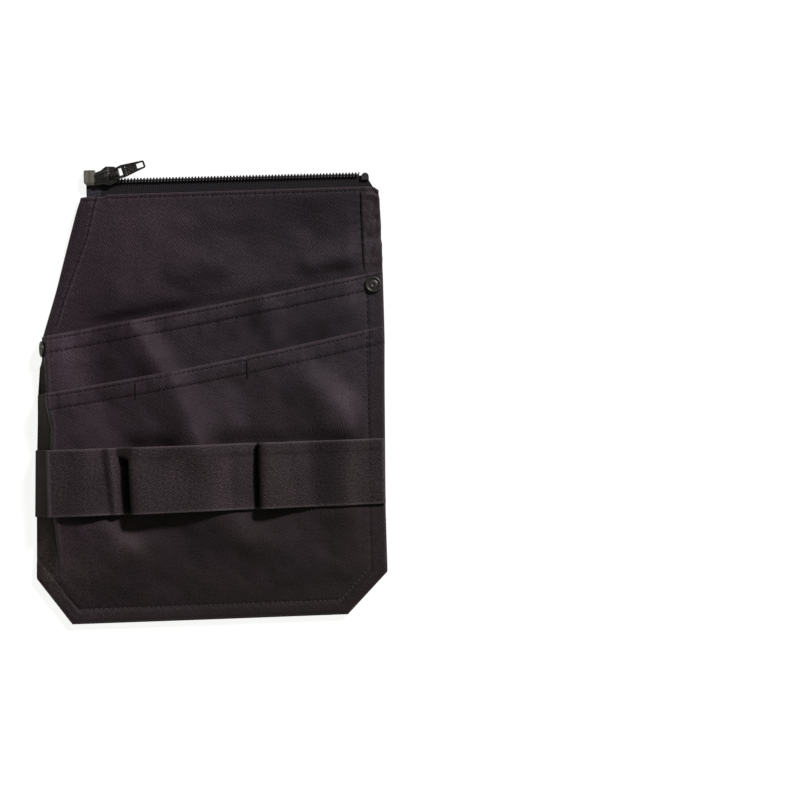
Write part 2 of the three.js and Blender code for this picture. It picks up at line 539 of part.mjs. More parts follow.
/** Pull tab: a tapered plate with an eye round the arch, a cross ridge and a window at its tip. */
function makeZipPull() {
  const rectangle = ({ near, far, half }) => [[near, -half], [near, half], [far, half], [far, -half]];
  const end = PULL.length;
  const upperSide = [
    [-PULL.bar, PULL.rootHalf - PULL_CORNER], [PULL_CORNER - PULL.bar, PULL.rootHalf],
    [PULL_SHOULDER.along, PULL_SHOULDER.half],
    [end - PULL_CORNER, PULL.tipHalf], [end, PULL.tipHalf - PULL_CORNER],
  ];
  const outline = [...upperSide.map(([a, b]) => [a, -b]), ...upperSide.reverse()];
  const tab = plate(outline, -PULL.thick / 2, PULL.thick / 2, [rectangle(PULL_EYE), rectangle(PULL_WINDOW)]);
  const ridge = plate(rectangle({
    near: PULL_RIDGE.along, far: PULL_RIDGE.along + PULL_RIDGE.width, half: PULL_RIDGE.half,
  }), 0, PULL.thick / 2 + PULL_RIDGE.rise);
  const place = pullPlace();
  return geometryOf(solidOf(tab).add(solidOf(ridge)))
    .rotateZ(degToRad(PULL.turn)).translate(place.x, place.y, PULL_Z);
}

/** Frame of a rivet: its seat on the front of the upper pocket and the way that it faces. */
function rivetSeat(x, y) {
  const step = 0.2;
  const slopeX = (upperHeight(x + step, y) - upperHeight(x - step, y)) / (2 * step);
  const facing = point(-slopeX, 0, 1).normalize();
  const seat = point(x, y, upperHeight(x, y)).addScaledVector(facing, CLOTH / 2 + GAP);
  return { seat, facing };
}

/** Stands a geometry made along Y on a rivet's seat. */
function onSeat(geometry, { seat, facing }) {
  const turn = new THREE.Quaternion().setFromUnitVectors(point(0, 1, 0), facing);
  return geometry.applyQuaternion(turn).translate(seat.x, seat.y, seat.z);
}

/** Rivet: a cap with a raised rim and a dished top, on a shank that ends behind the cloth. */
function makeRivet(frame) {
  const depth = CLOTH + GAP + 0.1;
  const profile = [
    [0, -depth], [RIVET.shank, -depth], [RIVET.shank, 0], [RIVET.radius, 0],
    [RIVET.radius, RIVET.rim], [RIVET.radius - RIVET_STEPS.edge, RIVET.crown],
    [RIVET.radius - RIVET_STEPS.lip, RIVET.crown], [RIVET.radius - RIVET_STEPS.floor, RIVET.dish],
    [0, RIVET.dish],
  ].map(([radius, height]) => new THREE.Vector2(radius, height));
  return onSeat(new THREE.LatheGeometry(profile, RIVET.sides), frame);
}

/** A pocket with a hole for each rivet's shank. */
function pierced(geometry, frames) {
  const reach = 3;
  return geometryOf(frames.reduce((solid, frame) => {
    const hole = new THREE.CylinderGeometry(RIVET.shank + GAP, RIVET.shank + GAP, 2 * reach, 12);
    return solid.subtract(solidOf(onSeat(hole, frame)));
  }, solidOf(geometry)));
}

const leftWall = tableAt(UPPER_WALL, 'y', RIVET_LEFT.y);
const rivetFrames = {
  right: rivetSeat(RIVET_RIGHT.x, RIVET_RIGHT.y),
  left: rivetSeat(leftWall.left + leftWall.run * (1 - (1 - RIVET_LEFT.up) ** (1 / WALL_ROUND)), RIVET_LEFT.y),
};

const upperPocket = makePocket(UPPER_ROWS, UPPER_WALL, upperHeight);
const pouch = new THREE.Group();

function addPiece(name, geometry, finish) {
  const mesh = new THREE.Mesh(geometry, new THREE.MeshStandardMaterial(finish));
  mesh.name = name;
  pouch.add(mesh);
}

addPiece('back_panel', makeBackPanel(), TWILL);
addPiece('upper_pocket', pierced(upperPocket, Object.values(rivetFrames)), TWILL);
addPiece('lower_pocket', makePocket(LOWER_ROWS, LOWER_WALL, lowerHeight), TWILL);
addPiece('tool_loop_strip', makeLoopStrip(), TWILL_STRIP);
addPiece('zip_tape', makeZipTape(), TAPE_FINISH);
addPiece('zip_teeth', makeZipTeeth(), COIL);
addPiece('zip_box', makeZipBox(), BOX_FINISH);
addPiece('zip_top_stop', makeTopStop(), COIL);
addPiece('zip_slider', makeZipSlider(), BLACK_METAL);
addPiece('zip_pull', makeZipPull(), BLACK_METAL);
addPiece('rivet_right', makeRivet(rivetFrames.right), ANTIQUE);
addPiece('rivet_left', makeRivet(rivetFrames.left), ANTIQUE);

// The origin is under the middle of the pouch, on the surface that it lies on
const middle = new THREE.Box3().setFromObject(pouch).getCenter(point(0, 0, 0));
pouch.position.set(-middle.x, -middle.y, 0);

export default pouch;
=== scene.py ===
"""Tool pouch of dark twill on a white floor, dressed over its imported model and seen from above."""
import math

import bpy
import numpy as np
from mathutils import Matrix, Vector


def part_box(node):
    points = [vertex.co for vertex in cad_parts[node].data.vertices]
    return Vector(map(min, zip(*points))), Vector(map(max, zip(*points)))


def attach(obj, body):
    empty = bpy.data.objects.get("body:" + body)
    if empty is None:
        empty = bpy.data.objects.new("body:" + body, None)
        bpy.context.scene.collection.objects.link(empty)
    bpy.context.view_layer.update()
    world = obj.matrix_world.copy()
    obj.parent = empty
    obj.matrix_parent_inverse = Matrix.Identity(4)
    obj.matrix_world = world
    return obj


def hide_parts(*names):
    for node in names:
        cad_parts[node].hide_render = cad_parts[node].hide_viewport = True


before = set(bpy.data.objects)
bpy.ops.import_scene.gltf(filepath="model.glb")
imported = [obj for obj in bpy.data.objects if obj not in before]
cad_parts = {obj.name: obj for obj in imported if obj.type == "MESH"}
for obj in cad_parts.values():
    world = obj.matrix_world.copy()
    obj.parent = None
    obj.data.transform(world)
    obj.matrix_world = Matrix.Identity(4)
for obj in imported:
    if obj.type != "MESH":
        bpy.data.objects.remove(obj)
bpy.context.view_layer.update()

# Plan of the pouch in millimetres: x to the right, y up from the bottom edge, z up from the floor.
# The back panel's left and bottom limits tie the plan to the frame.
MM = 0.001
PANEL_CORNER = (-99.0, 0.0)
panel_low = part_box("back_panel")[0]
PLAN_SHIFT = np.array([panel_low[0] / MM - PANEL_CORNER[0], panel_low[1] / MM - PANEL_CORNER[1], 0.0])

# Cloth
CLOTH = 1.2
HALF_CLOTH = CLOTH / 2
HEM_EXTRA = 0.9
SEAM = 9.0
SIDE_HEM = 9.5
HEM_RISE = 0.8
BOTTOM_HEM = 8.0
FOLD_FADE = 16.0
SEAM_FADE = 10.0
FRONT_FALL = 1.5
PANEL_EASE = 0.8
RIM_STEPS = 3
BAND_TURN = math.radians(15)

PANEL_LEFT = {
    "y": [0, 26.5, 62, 131.5, 147.5, 151.5, 165, 191.4, 213.7, 234.2, 237.2, 245.5],
    "x": [-79.5, -99, -98.2, -96, -94.6, -93.1, -92.4, -84, -77.7, -71.7, -70.8, -68.4],
}
PANEL_RIGHT = {
    "y": [1.8, 25.6, 62, 131.5, 152, 158, 171, 196, 216, 235.2, 238.2, 246.5],
    "x": [78.5, 101.6, 101.4, 102.6, 103.1, 103.3, 103.3, 103.2, 102.6, 102.3, 102.3, 102],
}
UPPER_WALL = {
    "y": [0, 8.5, 26.5, 45, 62, 100, 131.5, 147.5, 151.5, 165],
    "left": [-79.5, -85.75, -99, -95.4, -95, -94.4, -94, -94, -92.9, -92.5],
    "foot": [2.1] * 10,
    "run": [14, 14, 12, 7, 6, 5, 4.6, 4.1, 2.9, 2.6],
    "rise": [0, 0, 2, 4.6, 5.4, 6, 7.4, 9, 9.5, 9.4],
}
LOWER_WALL = {
    "y": [0, 8.5, 26.5, 45, 62, 100, 113, 119, 125, 131.5],
    "left": [-79.5, -85.75, -99, -98.6, -98.2, -97, -96.4, -96.2, -96, -95.8],
    "foot": [3.6, 3.6, 3.6, 2.1, 2.1, 2.1, 2.1, 2.1, 2.1, 2.1],
    "run": [14, 14, 14, 13.5, 12, 10, 10.2, 8.6, 7.2, 6.4],
    "rise": [0, 0, 5.4, 10.5, 13.2, 14.4, 14.7, 14.9, 15, 15],
}
WALL_PROFILE = {"share": [0, 0.55, 0.88, 1.0, 1.15], "climb": [0, 0.5, 0.87, 0.985, 1.0]}
UPPER_ENDS = {"left": [0, 8.5, 26.5, 62, 114, 164.7], "right": [1.8, 9.4, 25.6, 62, 135, 198.1],
              "sag": [0, 0, 0, 0, 1, 1]}
LOWER_ENDS = {"left": [0, 8.5, 26.5, 62, 97, 131.5], "right": [1.8, 9.4, 25.6, 62, 103, 166.3],
              "sag": [0, 0, 0, 0, 0, 2]}

# Folds: x0, y0, x1, y1, widths on the left and on the right of that line, height; a height under 0
# is a dent
PANEL_FOLDS = [
    (-66, 181, -22, 188, 26, 9, 2.3),
    (-5, 202, 8, 205, 16, 10, 3.0),
    (62, 203.5, 90, 206.5, 9, 4.5, 2.3),
]
UPPER_FOLDS = [
    (-68, 170, -64, 138, 13, 15, -3.0),
    (-40, 168, -21, 138, 7, 13, 4.6),
    (35, 178, 40, 160, 8, 8, 1.4),
    (79, 190, 81, 181, 8, 15, 2.0),
]
LOWER_FOLDS = [
    (-58, 128, -50, 104, 11, 12, -2.2),
    (-18, 136, -2, 98, 7.5, 14, 4.8),
    (-2, 98, 2, 64, 10, 15, 2.0),
    (20, 134, 26, 106, 9, 9, -1.6),
    (63, 135, 87, 112, 7, 15, 4.8),
    (80, 102, 79, 66, 8, 15, 3.8),
    (-57, 51, -44, 40, 8, 20, 4.2),
    (-20, 56, -10, 38, 9, 9, -1.2),
    (12, 58, 22, 46, 8, 12, 2.2),
]
STRIP_GROOVES = [
    (-41, 99.5, -22, 99.5, 6, 6, -3.2),
    (8, 100, 80, 101, 6, 6, -2.8),
]
STRIP_FOLDS = [
    (-59.5, 101, -55.4, 62, 3, 7, -1.6),
    (-54.2, 101, -50.6, 62, 4.5, 3, 2.0),
    (51, 104, 57, 60, 4, 3.5, 1.2),
]

# Small creases: height, length and seed of each set of waves
PANEL_CREASES = [(0.35, 40, 31), (0.16, 14, 32), (0.04, 5, 36)]
POCKET_CREASES = [(0.32, 34, 10), (0.16, 13, 11), (0.04, 5, 12)]

# Broad patches painted paler or darker, partly wear and partly painted light and shade: x, y, half width,
# half height, amount
PANEL_LIGHT_AND_WEAR = [
    (-36, 224, 32, 18, 0.50), (57, 237, 28, 9, -0.55), (74, 220, 22, 14, -0.20), (-4, 195, 15, 9, -0.45),
    (-48, 183, 28, 8, -0.40), (26, 195, 9, 8, 0.25), (11, 227, 20, 12, -0.65), (68, 206.5, 12, 4, 0.30),
    (97, 214, 5, 7, 0.75), (97, 229, 5, 8, 0.85), (-72, 234, 7, 16, -0.30),
]
# Upper pocket: the darker patch at (64, 160) is painted shadow under the lower pocket's mouth.
UPPER_LIGHT_AND_WEAR = [
    (-77, 149, 14, 19, 1.20), (28, 172, 12, 9, -0.60), (57, 165, 19, 10, -0.90), (88, 184, 9, 9, 0.45),
    (6, 164, 16, 10, -0.55), (-58, 150, 9, 14, -0.15), (64, 160, 22, 4, -0.45),
]
# Lower pocket: the pale patches on the side wall at x -95 and -94 are painted light over the shade that the
# strip and the fold cast there.
LOWER_LIGHT_AND_WEAR = [
    (78, 123, 9, 13, 1.20), (43, 131, 16, 15, -0.30), (-46, 47, 9, 7, 1.40), (-72, 34, 16, 16, 1.30),
    (-11, 43, 18, 14, -0.35), (52, 28, 36, 20, -0.35), (20, 47, 6, 5, 0.40), (-84, 37, 6, 18, 0.50),
    (-72, 118, 12, 9, -0.20), (-95, 51, 6, 13, 1.60),
    (-94, 114, 5.5, 20, 1.15), (-91, 20, 9, 11, 1.50),
]
# Strip: the pale patch at (-46, 99) is painted light on the bridge over the first slit; the dark one at (-60,
# 80) is painted shade in the crease.
STRIP_LIGHT_AND_WEAR = [
    (-94.5, 80, 3.5, 30, 0.70), (-84, 80, 6, 30, 0.30), (-75, 80, 5, 30, -0.10), (-60, 80, 4, 30, -0.35),
    (-51.5, 80, 3, 30, 0.30), (-39, 87, 7, 12, 0.30), (-46, 99, 3.5, 3, 0.70),
    (-23, 93, 6, 8, -0.35), (-16, 86, 7, 10, 0.30), (10, 81, 6, 12, 0.30), (16.5, 80, 2.5, 20, -0.45),
    (41, 80, 9, 20, 0.25), (68, 79, 10, 30, -0.55), (83, 79, 3, 30, 0.35),
]

# Sewn lines: the two rows below a pocket's mouth, the hems' rows in from their edges, and the upright
# rows as x and their ends. The cloth dips under the thread and puckers along it.
MOUTH_RISE = 33.4
MOUTH_RUN = 196.0
MOUTH_LEAN = math.cos(math.atan2(MOUTH_RISE, MOUTH_RUN))
MOUTH_ROWS = (2.0, 9.2)
MOUTH_ROW_ENDS = (-91.5, 93.5)
MOUTH_HEM = {"rise": 0.35, "from": 8.6, "to": 10.4}
LEFT_ROW = {"y": [168, 185.5, 209, 222, 242.5], "in": [5.7, 5.9, 8.4, 9.8, 9.0]}
LEFT_ROW_ENDS = (169, 243.5)
LEFT_RIDGE = {"past": 0.9, "width": 0.6, "height": 0.42, "groove": -0.4}
RIGHT_GROOVE = SIDE_HEM + 1.3
RIGHT_ROW = SIDE_HEM + 0.95
RIGHT_ROW_ENDS = (199, 242.8)
TOP_ROW = 1.9
TOP_ROW_ENDS = (-52, 90)
BOTTOM_ROW = [(-91.6, 29.0), (-78.0, 9.0), (-76.5, 8.1), (0, 9.0), (74.0, 9.75), (75.6, 10.6), (93.0, 29.5)]
LOWER_UPRIGHT = (93.4, 104, 163)
UPPER_UPRIGHT = (94.2, 168, 187)
PUCKER = {"length": 5.1, "height": 0.13, "width": 3.2}
GROOVE = {"depth": 0.28, "width": 0.8}
STITCH = {"length": 2.1, "pitch": 2.75, "radius": 0.3}
TACK_RADIUS = 0.26
RIB_PITCH = 1.25
BAR_TACKS = [(-39.2, 127.6, 138.5), (24.5, 138.0, 149.0)]

# Strip of tool loops
STRIP_WIDTH = 38
STRIP_ENDS = {"low_left": 62, "low_right": 64.9, "high_left": 99.8, "high_right": 101.8}
STRIP_MIDDLE = 80.9
STRIP_END_X = 101.6
STRIP_CLEAR = 2.2
STRIP_FOOT = {"out": 0.8, "z": 2.6}
STRIP_SLIT = {"x": -43.4, "reach": 7, "lean": 1.2,
              "before": 4, "after": 40, "open": 0.95, "top": (0.80, 0.89)}
STRIP_FLAT = -85.0
# Each arch: start x and z, first pull x and z, second pull x and z, end x
LOOPS = [
    (-89.6, 0.8, -80, 2.0, -57, 9.5, -49.0),
    (-42.2, 0, -45.6, 18, -38, 10, 24.5),
    (30.4, 0, 29.2, 11, 37, 8, 58),
]
STRIP_SEWN = [-46.2, 27.5, 93.8]
STRIP_ROW_ENDS = (64.5, 100.5)
STRIP_DIP = 0.25

# Half zip, between the panel's front and a narrow facing behind it
TOP_STEP = {"drop": 1.3, "from": -57, "to": -53.5}
TOP_CORNER = {"drop": 2.6, "from": 97, "to": 103}
FACING = {"left": -66, "right": 101, "low": 235.5, "high": 244.5, "inset": 0.3}
TAPE = {"left": -65.2, "right": 98.6, "low": 239.0, "high": 253.0, "slant_x": 95.0, "slant_y": 247.0}
TAPE_Z = 2.0
TAPE_HALF = 0.5
FILM_END = -57.2
BOX_LINE = -63.4
BOX_FOOT = 252.8
COIL = {"left": -59.6, "right": 91.4, "y": 253.7, "half_y": 1.0, "z": 3.8, "half_z": 0.6,
        "pitch": 1.84, "wire": 0.36, "core": 0.5, "core_y": 253.6}
COIL_THREAD = {"low": -1.4, "lean": (0.5, 0.7, 0.1), "radius": 0.28}
TOP_LIP = 4.0

# Slider and pull, on their own axes: along from the slider's middle or the pull's hinge
SLIDER = {"seat": (-53.25, 256.2), "turn": 13, "top": 6.0}
CROWN = {
    "along": [-6.2, -5.9, -4.6, -2.9, -1.2, 0.75, 1.6, 2.1],
    "half": [2.9, 3.0, 3.2, 3.5, 4.2, 5.0, 4.8, 4.7],
    "rise": [0.1, 0.5, 1.1, 1.45, 1.5, 1.15, 0.9, 0.7],
    "lean": 0.23,
    "sink": 0.4,
}
CROWN_RIDGES = {
    "share": [-1, -0.78, -0.7, -0.64, -0.56, -0.5, -0.36, -0.29, 0, 0.27, 0.33, 0.48, 0.54, 0.68, 0.8, 1],
    "climb": [0, 0.2, 0.24, 0.6, 0.58, 0.2, 0.24, 0.86, 1, 0.92, 0.56, 0.52, 0.8, 0.7, 0.2, 0],
}
PULL_SEAT = (-48.768, 257.235)
PULL_PLATE = {"turn": 17.5, "near": 6.5, "far": 13.3, "tip": 17.8, "half": (3.3, 1.95),
              "top": 7.66, "low": 7.4}

# Rivets: the left one sits at a share of the way up the upper pocket's side wall
RIVET_RADIUS = 4.65
RIVET_GAP = 0.3
RIVET_RIGHT = (97.9, 190.4)
RIVET_LEFT_Y = 158.0
RIVET_LEFT_SHARE = 0.55


def read_off(table, name, y):
    """A table's column at a height up the pouch, straight between its rows."""
    return np.interp(y, table["y"], table[name])


def smooth(value, low, high):
    """Runs from 0 at low to 1 at high as 3t^2 - 2t^3."""
    share = np.clip((value - low) / (high - low), 0, 1)
    return share * share * (3 - 2 * share)


def bell(value, width):
    """exp(-(value / width)^2)."""
    return np.exp(-((value / width) ** 2))


def fold_height(folds, x, y):
    """Sum over the folds of height times the bell of the distance to the fold's line, with a width
    that turns from the left one to the right one round the line's ends."""
    total = np.zeros(np.broadcast(x, y).shape)
    for x0, y0, x1, y1, left, right, height in folds:
        along_x, along_y = x1 - x0, y1 - y0
        length = math.hypot(along_x, along_y)
        share = np.clip(((x - x0) * along_x + (y - y0) * along_y) / length ** 2, 0, 1)
        off_x, off_y = x - x0 - share * along_x, y - y0 - share * along_y
        distance = np.hypot(off_x, off_y)
        side = (along_x * off_y - along_y * off_x) / (length * np.maximum(distance, 1e-6))
        total += height * bell(distance, (left + right) / 2 + (left - right) / 2 * side)
    return total


def waves(x, y, seed, length, count=7):
    """Sum of plane sine waves in seeded directions, their lengths spread round one length."""
    draw = np.random.default_rng(seed)
    turn = draw.uniform(0, math.pi, count)
    stretch = draw.uniform(0.7, 1.5, count) * length
    phase = draw.uniform(0, 2 * math.pi, count)
    total = np.zeros(np.broadcast(x, y).shape)
    for angle, size, start in zip(turn, stretch, phase):
        total += np.sin(2 * math.pi * (x * math.cos(angle) + y * math.sin(angle)) / size + start)
    return total / math.sqrt(count)


def creases(table, x, y, first_seed=0):
    """Sum of the waves of a table's rows, each times its height."""
    return sum(height * waves(x, y, first_seed + seed, length) for height, length, seed in table)


def light_and_wear_field(patches, grid):
    """How light the cloth is at a grid's points, from patches of wear and of painted light and shade:
    1 plus each patch's amount times its bells across and up.
    """
    x, y = grid[..., 0], grid[..., 1]
    return 1 + sum(amount * bell(x - px, wide) * bell(y - py, high) for px, py, wide, high, amount in patches)


def wall_climb(share):
    """Share of a side wall's rise at a share of its run: nearly straight up to a crisp fold, the
    profile's corners eased by averaging it over a short reach."""
    reach = np.linspace(-0.05, 0.05, 7)
    return sum(np.interp(share + r, WALL_PROFILE["share"], WALL_PROFILE["climb"]) for r in reach) / len(reach)


def right_edge(y):
    """Right edge of all the layers at a height up the pouch."""
    return read_off(PANEL_RIGHT, "x", y)


def mouth_line(ends, wall, x):
    """Height of a pocket's mouth at x: straight between its ends, less its sag."""
    left = read_off(wall, "left", ends["left"][-1])
    share = np.clip((x - left) / (right_edge(ends["right"][-1]) - left), 0, 1)
    level = ends["left"][-1] + (ends["right"][-1] - ends["left"][-1]) * share
    return level - ends["sag"][-1] * np.sin(math.pi * share)


def below_mouth(ends, wall, x, y):
    """Distance below a pocket's slanted mouth, square to it."""
    return (mouth_line(ends, wall, x) - y) * MOUTH_LEAN


def inward_of(wall, x, y):
    """Distance in from a pocket's left edge."""
    return x - read_off(wall, "left", y)


def pocket_form(wall, folds, x, y):
    """Middle of a pocket's cloth: up the side wall to its fold, then falling to the right seam."""
    run = read_off(wall, "run", y)
    inward = inward_of(wall, x, y)
    right = right_edge(y) - SEAM
    climb = wall_climb(inward / run)
    fall = 1 - np.clip((inward - run) / (right - x + inward - run), 0, 1) ** FRONT_FALL
    foot = read_off(wall, "foot", y)
    seat = foot + (wall["foot"][0] - foot) * smooth(inward, 0, run)
    free = smooth(inward, run * 0.5, run + FOLD_FADE) * (1 - smooth(x, right - SEAM_FADE, right))
    free = free * smooth(y, BOTTOM_HEM, BOTTOM_HEM + FOLD_FADE)
    return seat + read_off(wall, "rise", y) * climb * fall + free * fold_height(folds, x, y)


def wall_share(wall, x, y):
    """How far a place is up a pocket's side wall: 0 at its foot, 1 at its fold."""
    return inward_of(wall, x, y) / read_off(wall, "run", y)


def seam_relief(distance, along, seed):
    """A sewn line: a groove over the thread, with puckers that ripple along it and die out beside it."""
    pucker = np.sin(2 * math.pi * along / PUCKER["length"] + 1.3 * np.sin(along / 7.7 + seed) + seed)
    ripple = PUCKER["height"] * pucker * bell(distance, PUCKER["width"])
    return ripple - GROOVE["depth"] * bell(distance, GROOVE["width"])


def bottom_distance(x, y):
    """Distance inside the bottom edge and its two slanted corners: the least of those to the left of
    the lines that run down the left corner, along the bottom and up the right corner."""
    left = list(zip(PANEL_LEFT["x"], PANEL_LEFT["y"]))
    right = list(zip(PANEL_RIGHT["x"], PANEL_RIGHT["y"]))
    inside = []
    for (x0, y0), (x1, y1) in ((left[1], left[0]), (left[0], right[0]), (right[0], right[1])):
        inside.append(((x1 - x0) * (y - y0) - (y1 - y0) * (x - x0)) / math.hypot(x1 - x0, y1 - y0))
    return np.minimum(inside[1], np.minimum(inside[0], inside[2]))


def pocket_detail(ends, wall, seed, x, y):
    """Relief on a pocket: its padded mouth hem, sewn lines, right seam, bottom hem and small creases."""
    below = below_mouth(ends, wall, x, y)
    relief = smooth(below, -0.5, 1.2) * (1 - smooth(below, MOUTH_HEM["from"], MOUTH_HEM["to"]))
    relief = MOUTH_HEM["rise"] * relief
    for number, row in enumerate(MOUTH_ROWS):
        relief += seam_relief(below - row, x, seed + number)
    relief += seam_relief(x - right_edge(y) + SEAM, y, seed + 3) * smooth(below, 2, 4)
    hem = bottom_distance(x, y)
    relief += seam_relief(hem - BOTTOM_HEM, x + y, seed + 4)
    relief += 0.5 * smooth(hem, 0, 2.5) * (1 - smooth(hem, 5.5, 8))
    inward = inward_of(wall, x, y)
    fold_off = inward - read_off(wall, "run", y)
    relief += smooth(y, 26, 48) * (0.5 * bell(fold_off - 0.5, 0.9) - 0.45 * bell(fold_off + 1.1, 0.55))
    free = smooth(inward, 6, 26) * (1 - smooth(x, right_edge(y) - SEAM - 10, right_edge(y) - SEAM))
    free = free * smooth(y, BOTTOM_HEM, BOTTOM_HEM + 14)
    return relief + free * creases(POCKET_CREASES, x, y, seed)


def upper_height(x, y):
    """Middle of the upper pocket's cloth."""
    return pocket_form(UPPER_WALL, UPPER_FOLDS, x, y) + pocket_detail(UPPER_ENDS, UPPER_WALL, 2, x, y)


def lower_height(x, y):
    """Middle of the lower pocket's cloth."""
    form = pocket_form(LOWER_WALL, LOWER_FOLDS + STRIP_GROOVES, x, y)
    return form + pocket_detail(LOWER_ENDS, LOWER_WALL, 7, x, y)


def top_line(x):
    """Height at x of the straight line between the panel's two top corners."""
    left_x, left_y = PANEL_LEFT["x"][-1], PANEL_LEFT["y"][-1]
    right_x, right_y = PANEL_RIGHT["x"][-1], PANEL_RIGHT["y"][-1]
    return left_y + (right_y - left_y) * (x - left_x) / (right_x - left_x)


def panel_top(x):
    """Height of the panel's top edge at x: it steps down at the left end and rounds off at the right."""
    step = TOP_STEP["drop"] * (1 - smooth(x, TOP_STEP["from"], TOP_STEP["to"]))
    return top_line(x) - step - TOP_CORNER["drop"] * smooth(x, TOP_CORNER["from"], TOP_CORNER["to"]) ** 2


def left_seam(y):
    """Place across the panel of its left hem's seam at each height."""
    return read_off(PANEL_LEFT, "x", y) + read_off(LEFT_ROW, "in", y)


def panel_layers(x, y):
    """The back panel's lift off the floor and the thickness that its hems and sewn lines add: flat
    under the pockets, soft folds above them, then gently up over the zip's tape at the top."""
    open_above = y - mouth_line(UPPER_ENDS, UPPER_WALL, x)
    left_in = x - read_off(PANEL_LEFT, "x", y)
    right_in = right_edge(y) - x
    top_in = panel_top(x) - y
    free = smooth(open_above, 0, 8) * smooth(left_in, SIDE_HEM, SIDE_HEM + 2 * FOLD_FADE)
    free = free * smooth(right_in, SIDE_HEM, SIDE_HEM + SEAM_FADE) * smooth(top_in, 6, 20)
    lift = free * (fold_height(PANEL_FOLDS, x, y) + PANEL_EASE + creases(PANEL_CREASES, x, y))
    slope_end = 56 - 30 * smooth(x, -20, 60)
    lift = lift + (TOP_LIP - CLOTH) * (1 - smooth(top_in, 2, slope_end))
    shown = smooth(open_above, 1, 8)
    below_top = shown * smooth(top_in, 2.2, 3.2)
    extra = HEM_RISE * below_top * (1 - smooth(right_in, SIDE_HEM, SIDE_HEM + 1.2))
    past_seam = x - left_seam(y)
    extra += 0.6 * HEM_RISE * shown * smooth(left_in, 0, 4) * (1 - smooth(past_seam, -1, 2))
    extra += shown * seam_relief(past_seam, y, 33)
    ridge = bell(past_seam - LEFT_RIDGE["past"], LEFT_RIDGE["width"])
    groove = bell(past_seam - LEFT_RIDGE["groove"], LEFT_RIDGE["width"])
    extra += LEFT_RIDGE["height"] * shown * (ridge - groove)
    extra += below_top * seam_relief(right_in - RIGHT_GROOVE, y, 34)
    extra -= 0.25 * below_top * bell(right_in - RIGHT_GROOVE, 0.55)
    extra += seam_relief(top_in - TOP_ROW, x, 35)
    extra -= 0.9 * bell(top_in - 2.9, 0.6) * smooth(x, 90, 91.5)
    band = shown * (1 - smooth(right_in, SIDE_HEM - 1, SIDE_HEM))
    extra += band * (0.42 * waves(x * 0.4, y, 37, 11) + 0.16 * waves(x, y, 38, 5))
    return lift, np.maximum(extra, -0.5)


def panel_height(x, y):
    """Middle of the back panel's front layer."""
    lift, extra = panel_layers(x, y)
    return HALF_CLOTH + lift + extra


def stations(low, high, coarse, bands):
    """Places from low to high with coarse steps, and finer ones inside each band (from, to, step)."""
    fine = np.linspace(low, high, 4000)
    density = np.full_like(fine, 1 / coarse)
    for start, end, step in bands:
        inside = smooth(fine, start - coarse, start) * (1 - smooth(fine, end, end + coarse))
        density = np.maximum(density, inside / step)
    count = np.concatenate([[0], np.cumsum((density[1:] + density[:-1]) / 2 * np.diff(fine))])
    steps = max(2, int(round(count[-1])))
    return np.interp(np.linspace(0, count[-1], steps + 1), count, fine)


def unit(vectors):
    """Vectors scaled to a length of 1."""
    return vectors / np.maximum(np.linalg.norm(vectors, axis=-1, keepdims=True), 1e-9)


def grid_normals(grid):
    """Unit normals of a grid of points: cross product of its two directions."""
    return unit(np.cross(np.gradient(grid, axis=1), np.gradient(grid, axis=0)))


def grid_faces(rows, columns, first=0, turned=False, closed=False):
    """Quads of a grid of numbered points, wrapped round in its columns if closed."""
    number = first + np.arange(rows * columns).reshape(rows, columns)
    if closed:
        number = np.concatenate([number, number[:, :1]], axis=1)
    quads = np.stack([number[:-1, :-1], number[:-1, 1:], number[1:, 1:], number[1:, :-1]], axis=-1)
    quads = quads.reshape(-1, 4)
    return quads[:, ::-1] if turned else quads


def rim_order(rows, columns):
    """Numbers of a grid's border points, once round against the clock."""
    number = np.arange(rows * columns).reshape(rows, columns)
    return np.concatenate([number[0, :-1], number[:-1, -1], number[-1, :0:-1], number[:0:-1, 0]])


def put_in_scene(name, data):
    """An object for a mesh, a camera or a light."""
    made = bpy.data.objects.new(name, data)
    bpy.context.collection.objects.link(made)
    return made


def make_object(name, points, faces, finish, body="pouch", smooth_faces=True, cloth=None, patch=None):
    """A mesh from points in the plan's millimetres, riding on a body; cloth is its weave and tone
    attributes, and patch a second finish with the faces that it is on."""
    mesh = bpy.data.meshes.new(name)
    placed = (np.asarray(points, dtype=float) + PLAN_SHIFT) * MM
    mesh.from_pydata(placed.tolist(), [], [face.tolist() for face in faces])
    mesh.polygons.foreach_set("use_smooth", np.full(len(mesh.polygons), smooth_faces))
    if cloth is not None:
        mesh.attributes.new("weave", "FLOAT_VECTOR", "POINT").data.foreach_set("vector", cloth[0].ravel())
        mesh.attributes.new("tone", "FLOAT", "POINT").data.foreach_set("value", cloth[1])
    mesh.materials.append(finish)
    if patch is not None:
        mesh.materials.append(patch[0])
        mesh.polygons.foreach_set("material_index", patch[1].astype("int32"))
    mesh.update()
    made = put_in_scene(name, mesh)
    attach(made, body)
    return made


def round_rim(grid, front, back, order):
    """Rings of points round a sheet's border that bulge out in a half circle from its front to its back."""
    rows, columns = grid.shape[:2]
    inner = np.clip(np.indices((rows, columns)), [[[1]], [[1]]], [[[rows - 2]], [[columns - 2]]])
    out = unit((grid - grid[inner[0], inner[1]]).reshape(-1, 3)[order])
    middle = ((front + back) / 2).reshape(-1, 3)[order]
    reach = ((front - back) / 2).reshape(-1, 3)[order]
    bulge = 0.6 * np.linalg.norm(reach, axis=1, keepdims=True)
    turns = np.pi * (np.arange(1, RIM_STEPS + 1) / (RIM_STEPS + 1))
    return [middle + reach * math.cos(t) + out * bulge * math.sin(t) for t in turns]


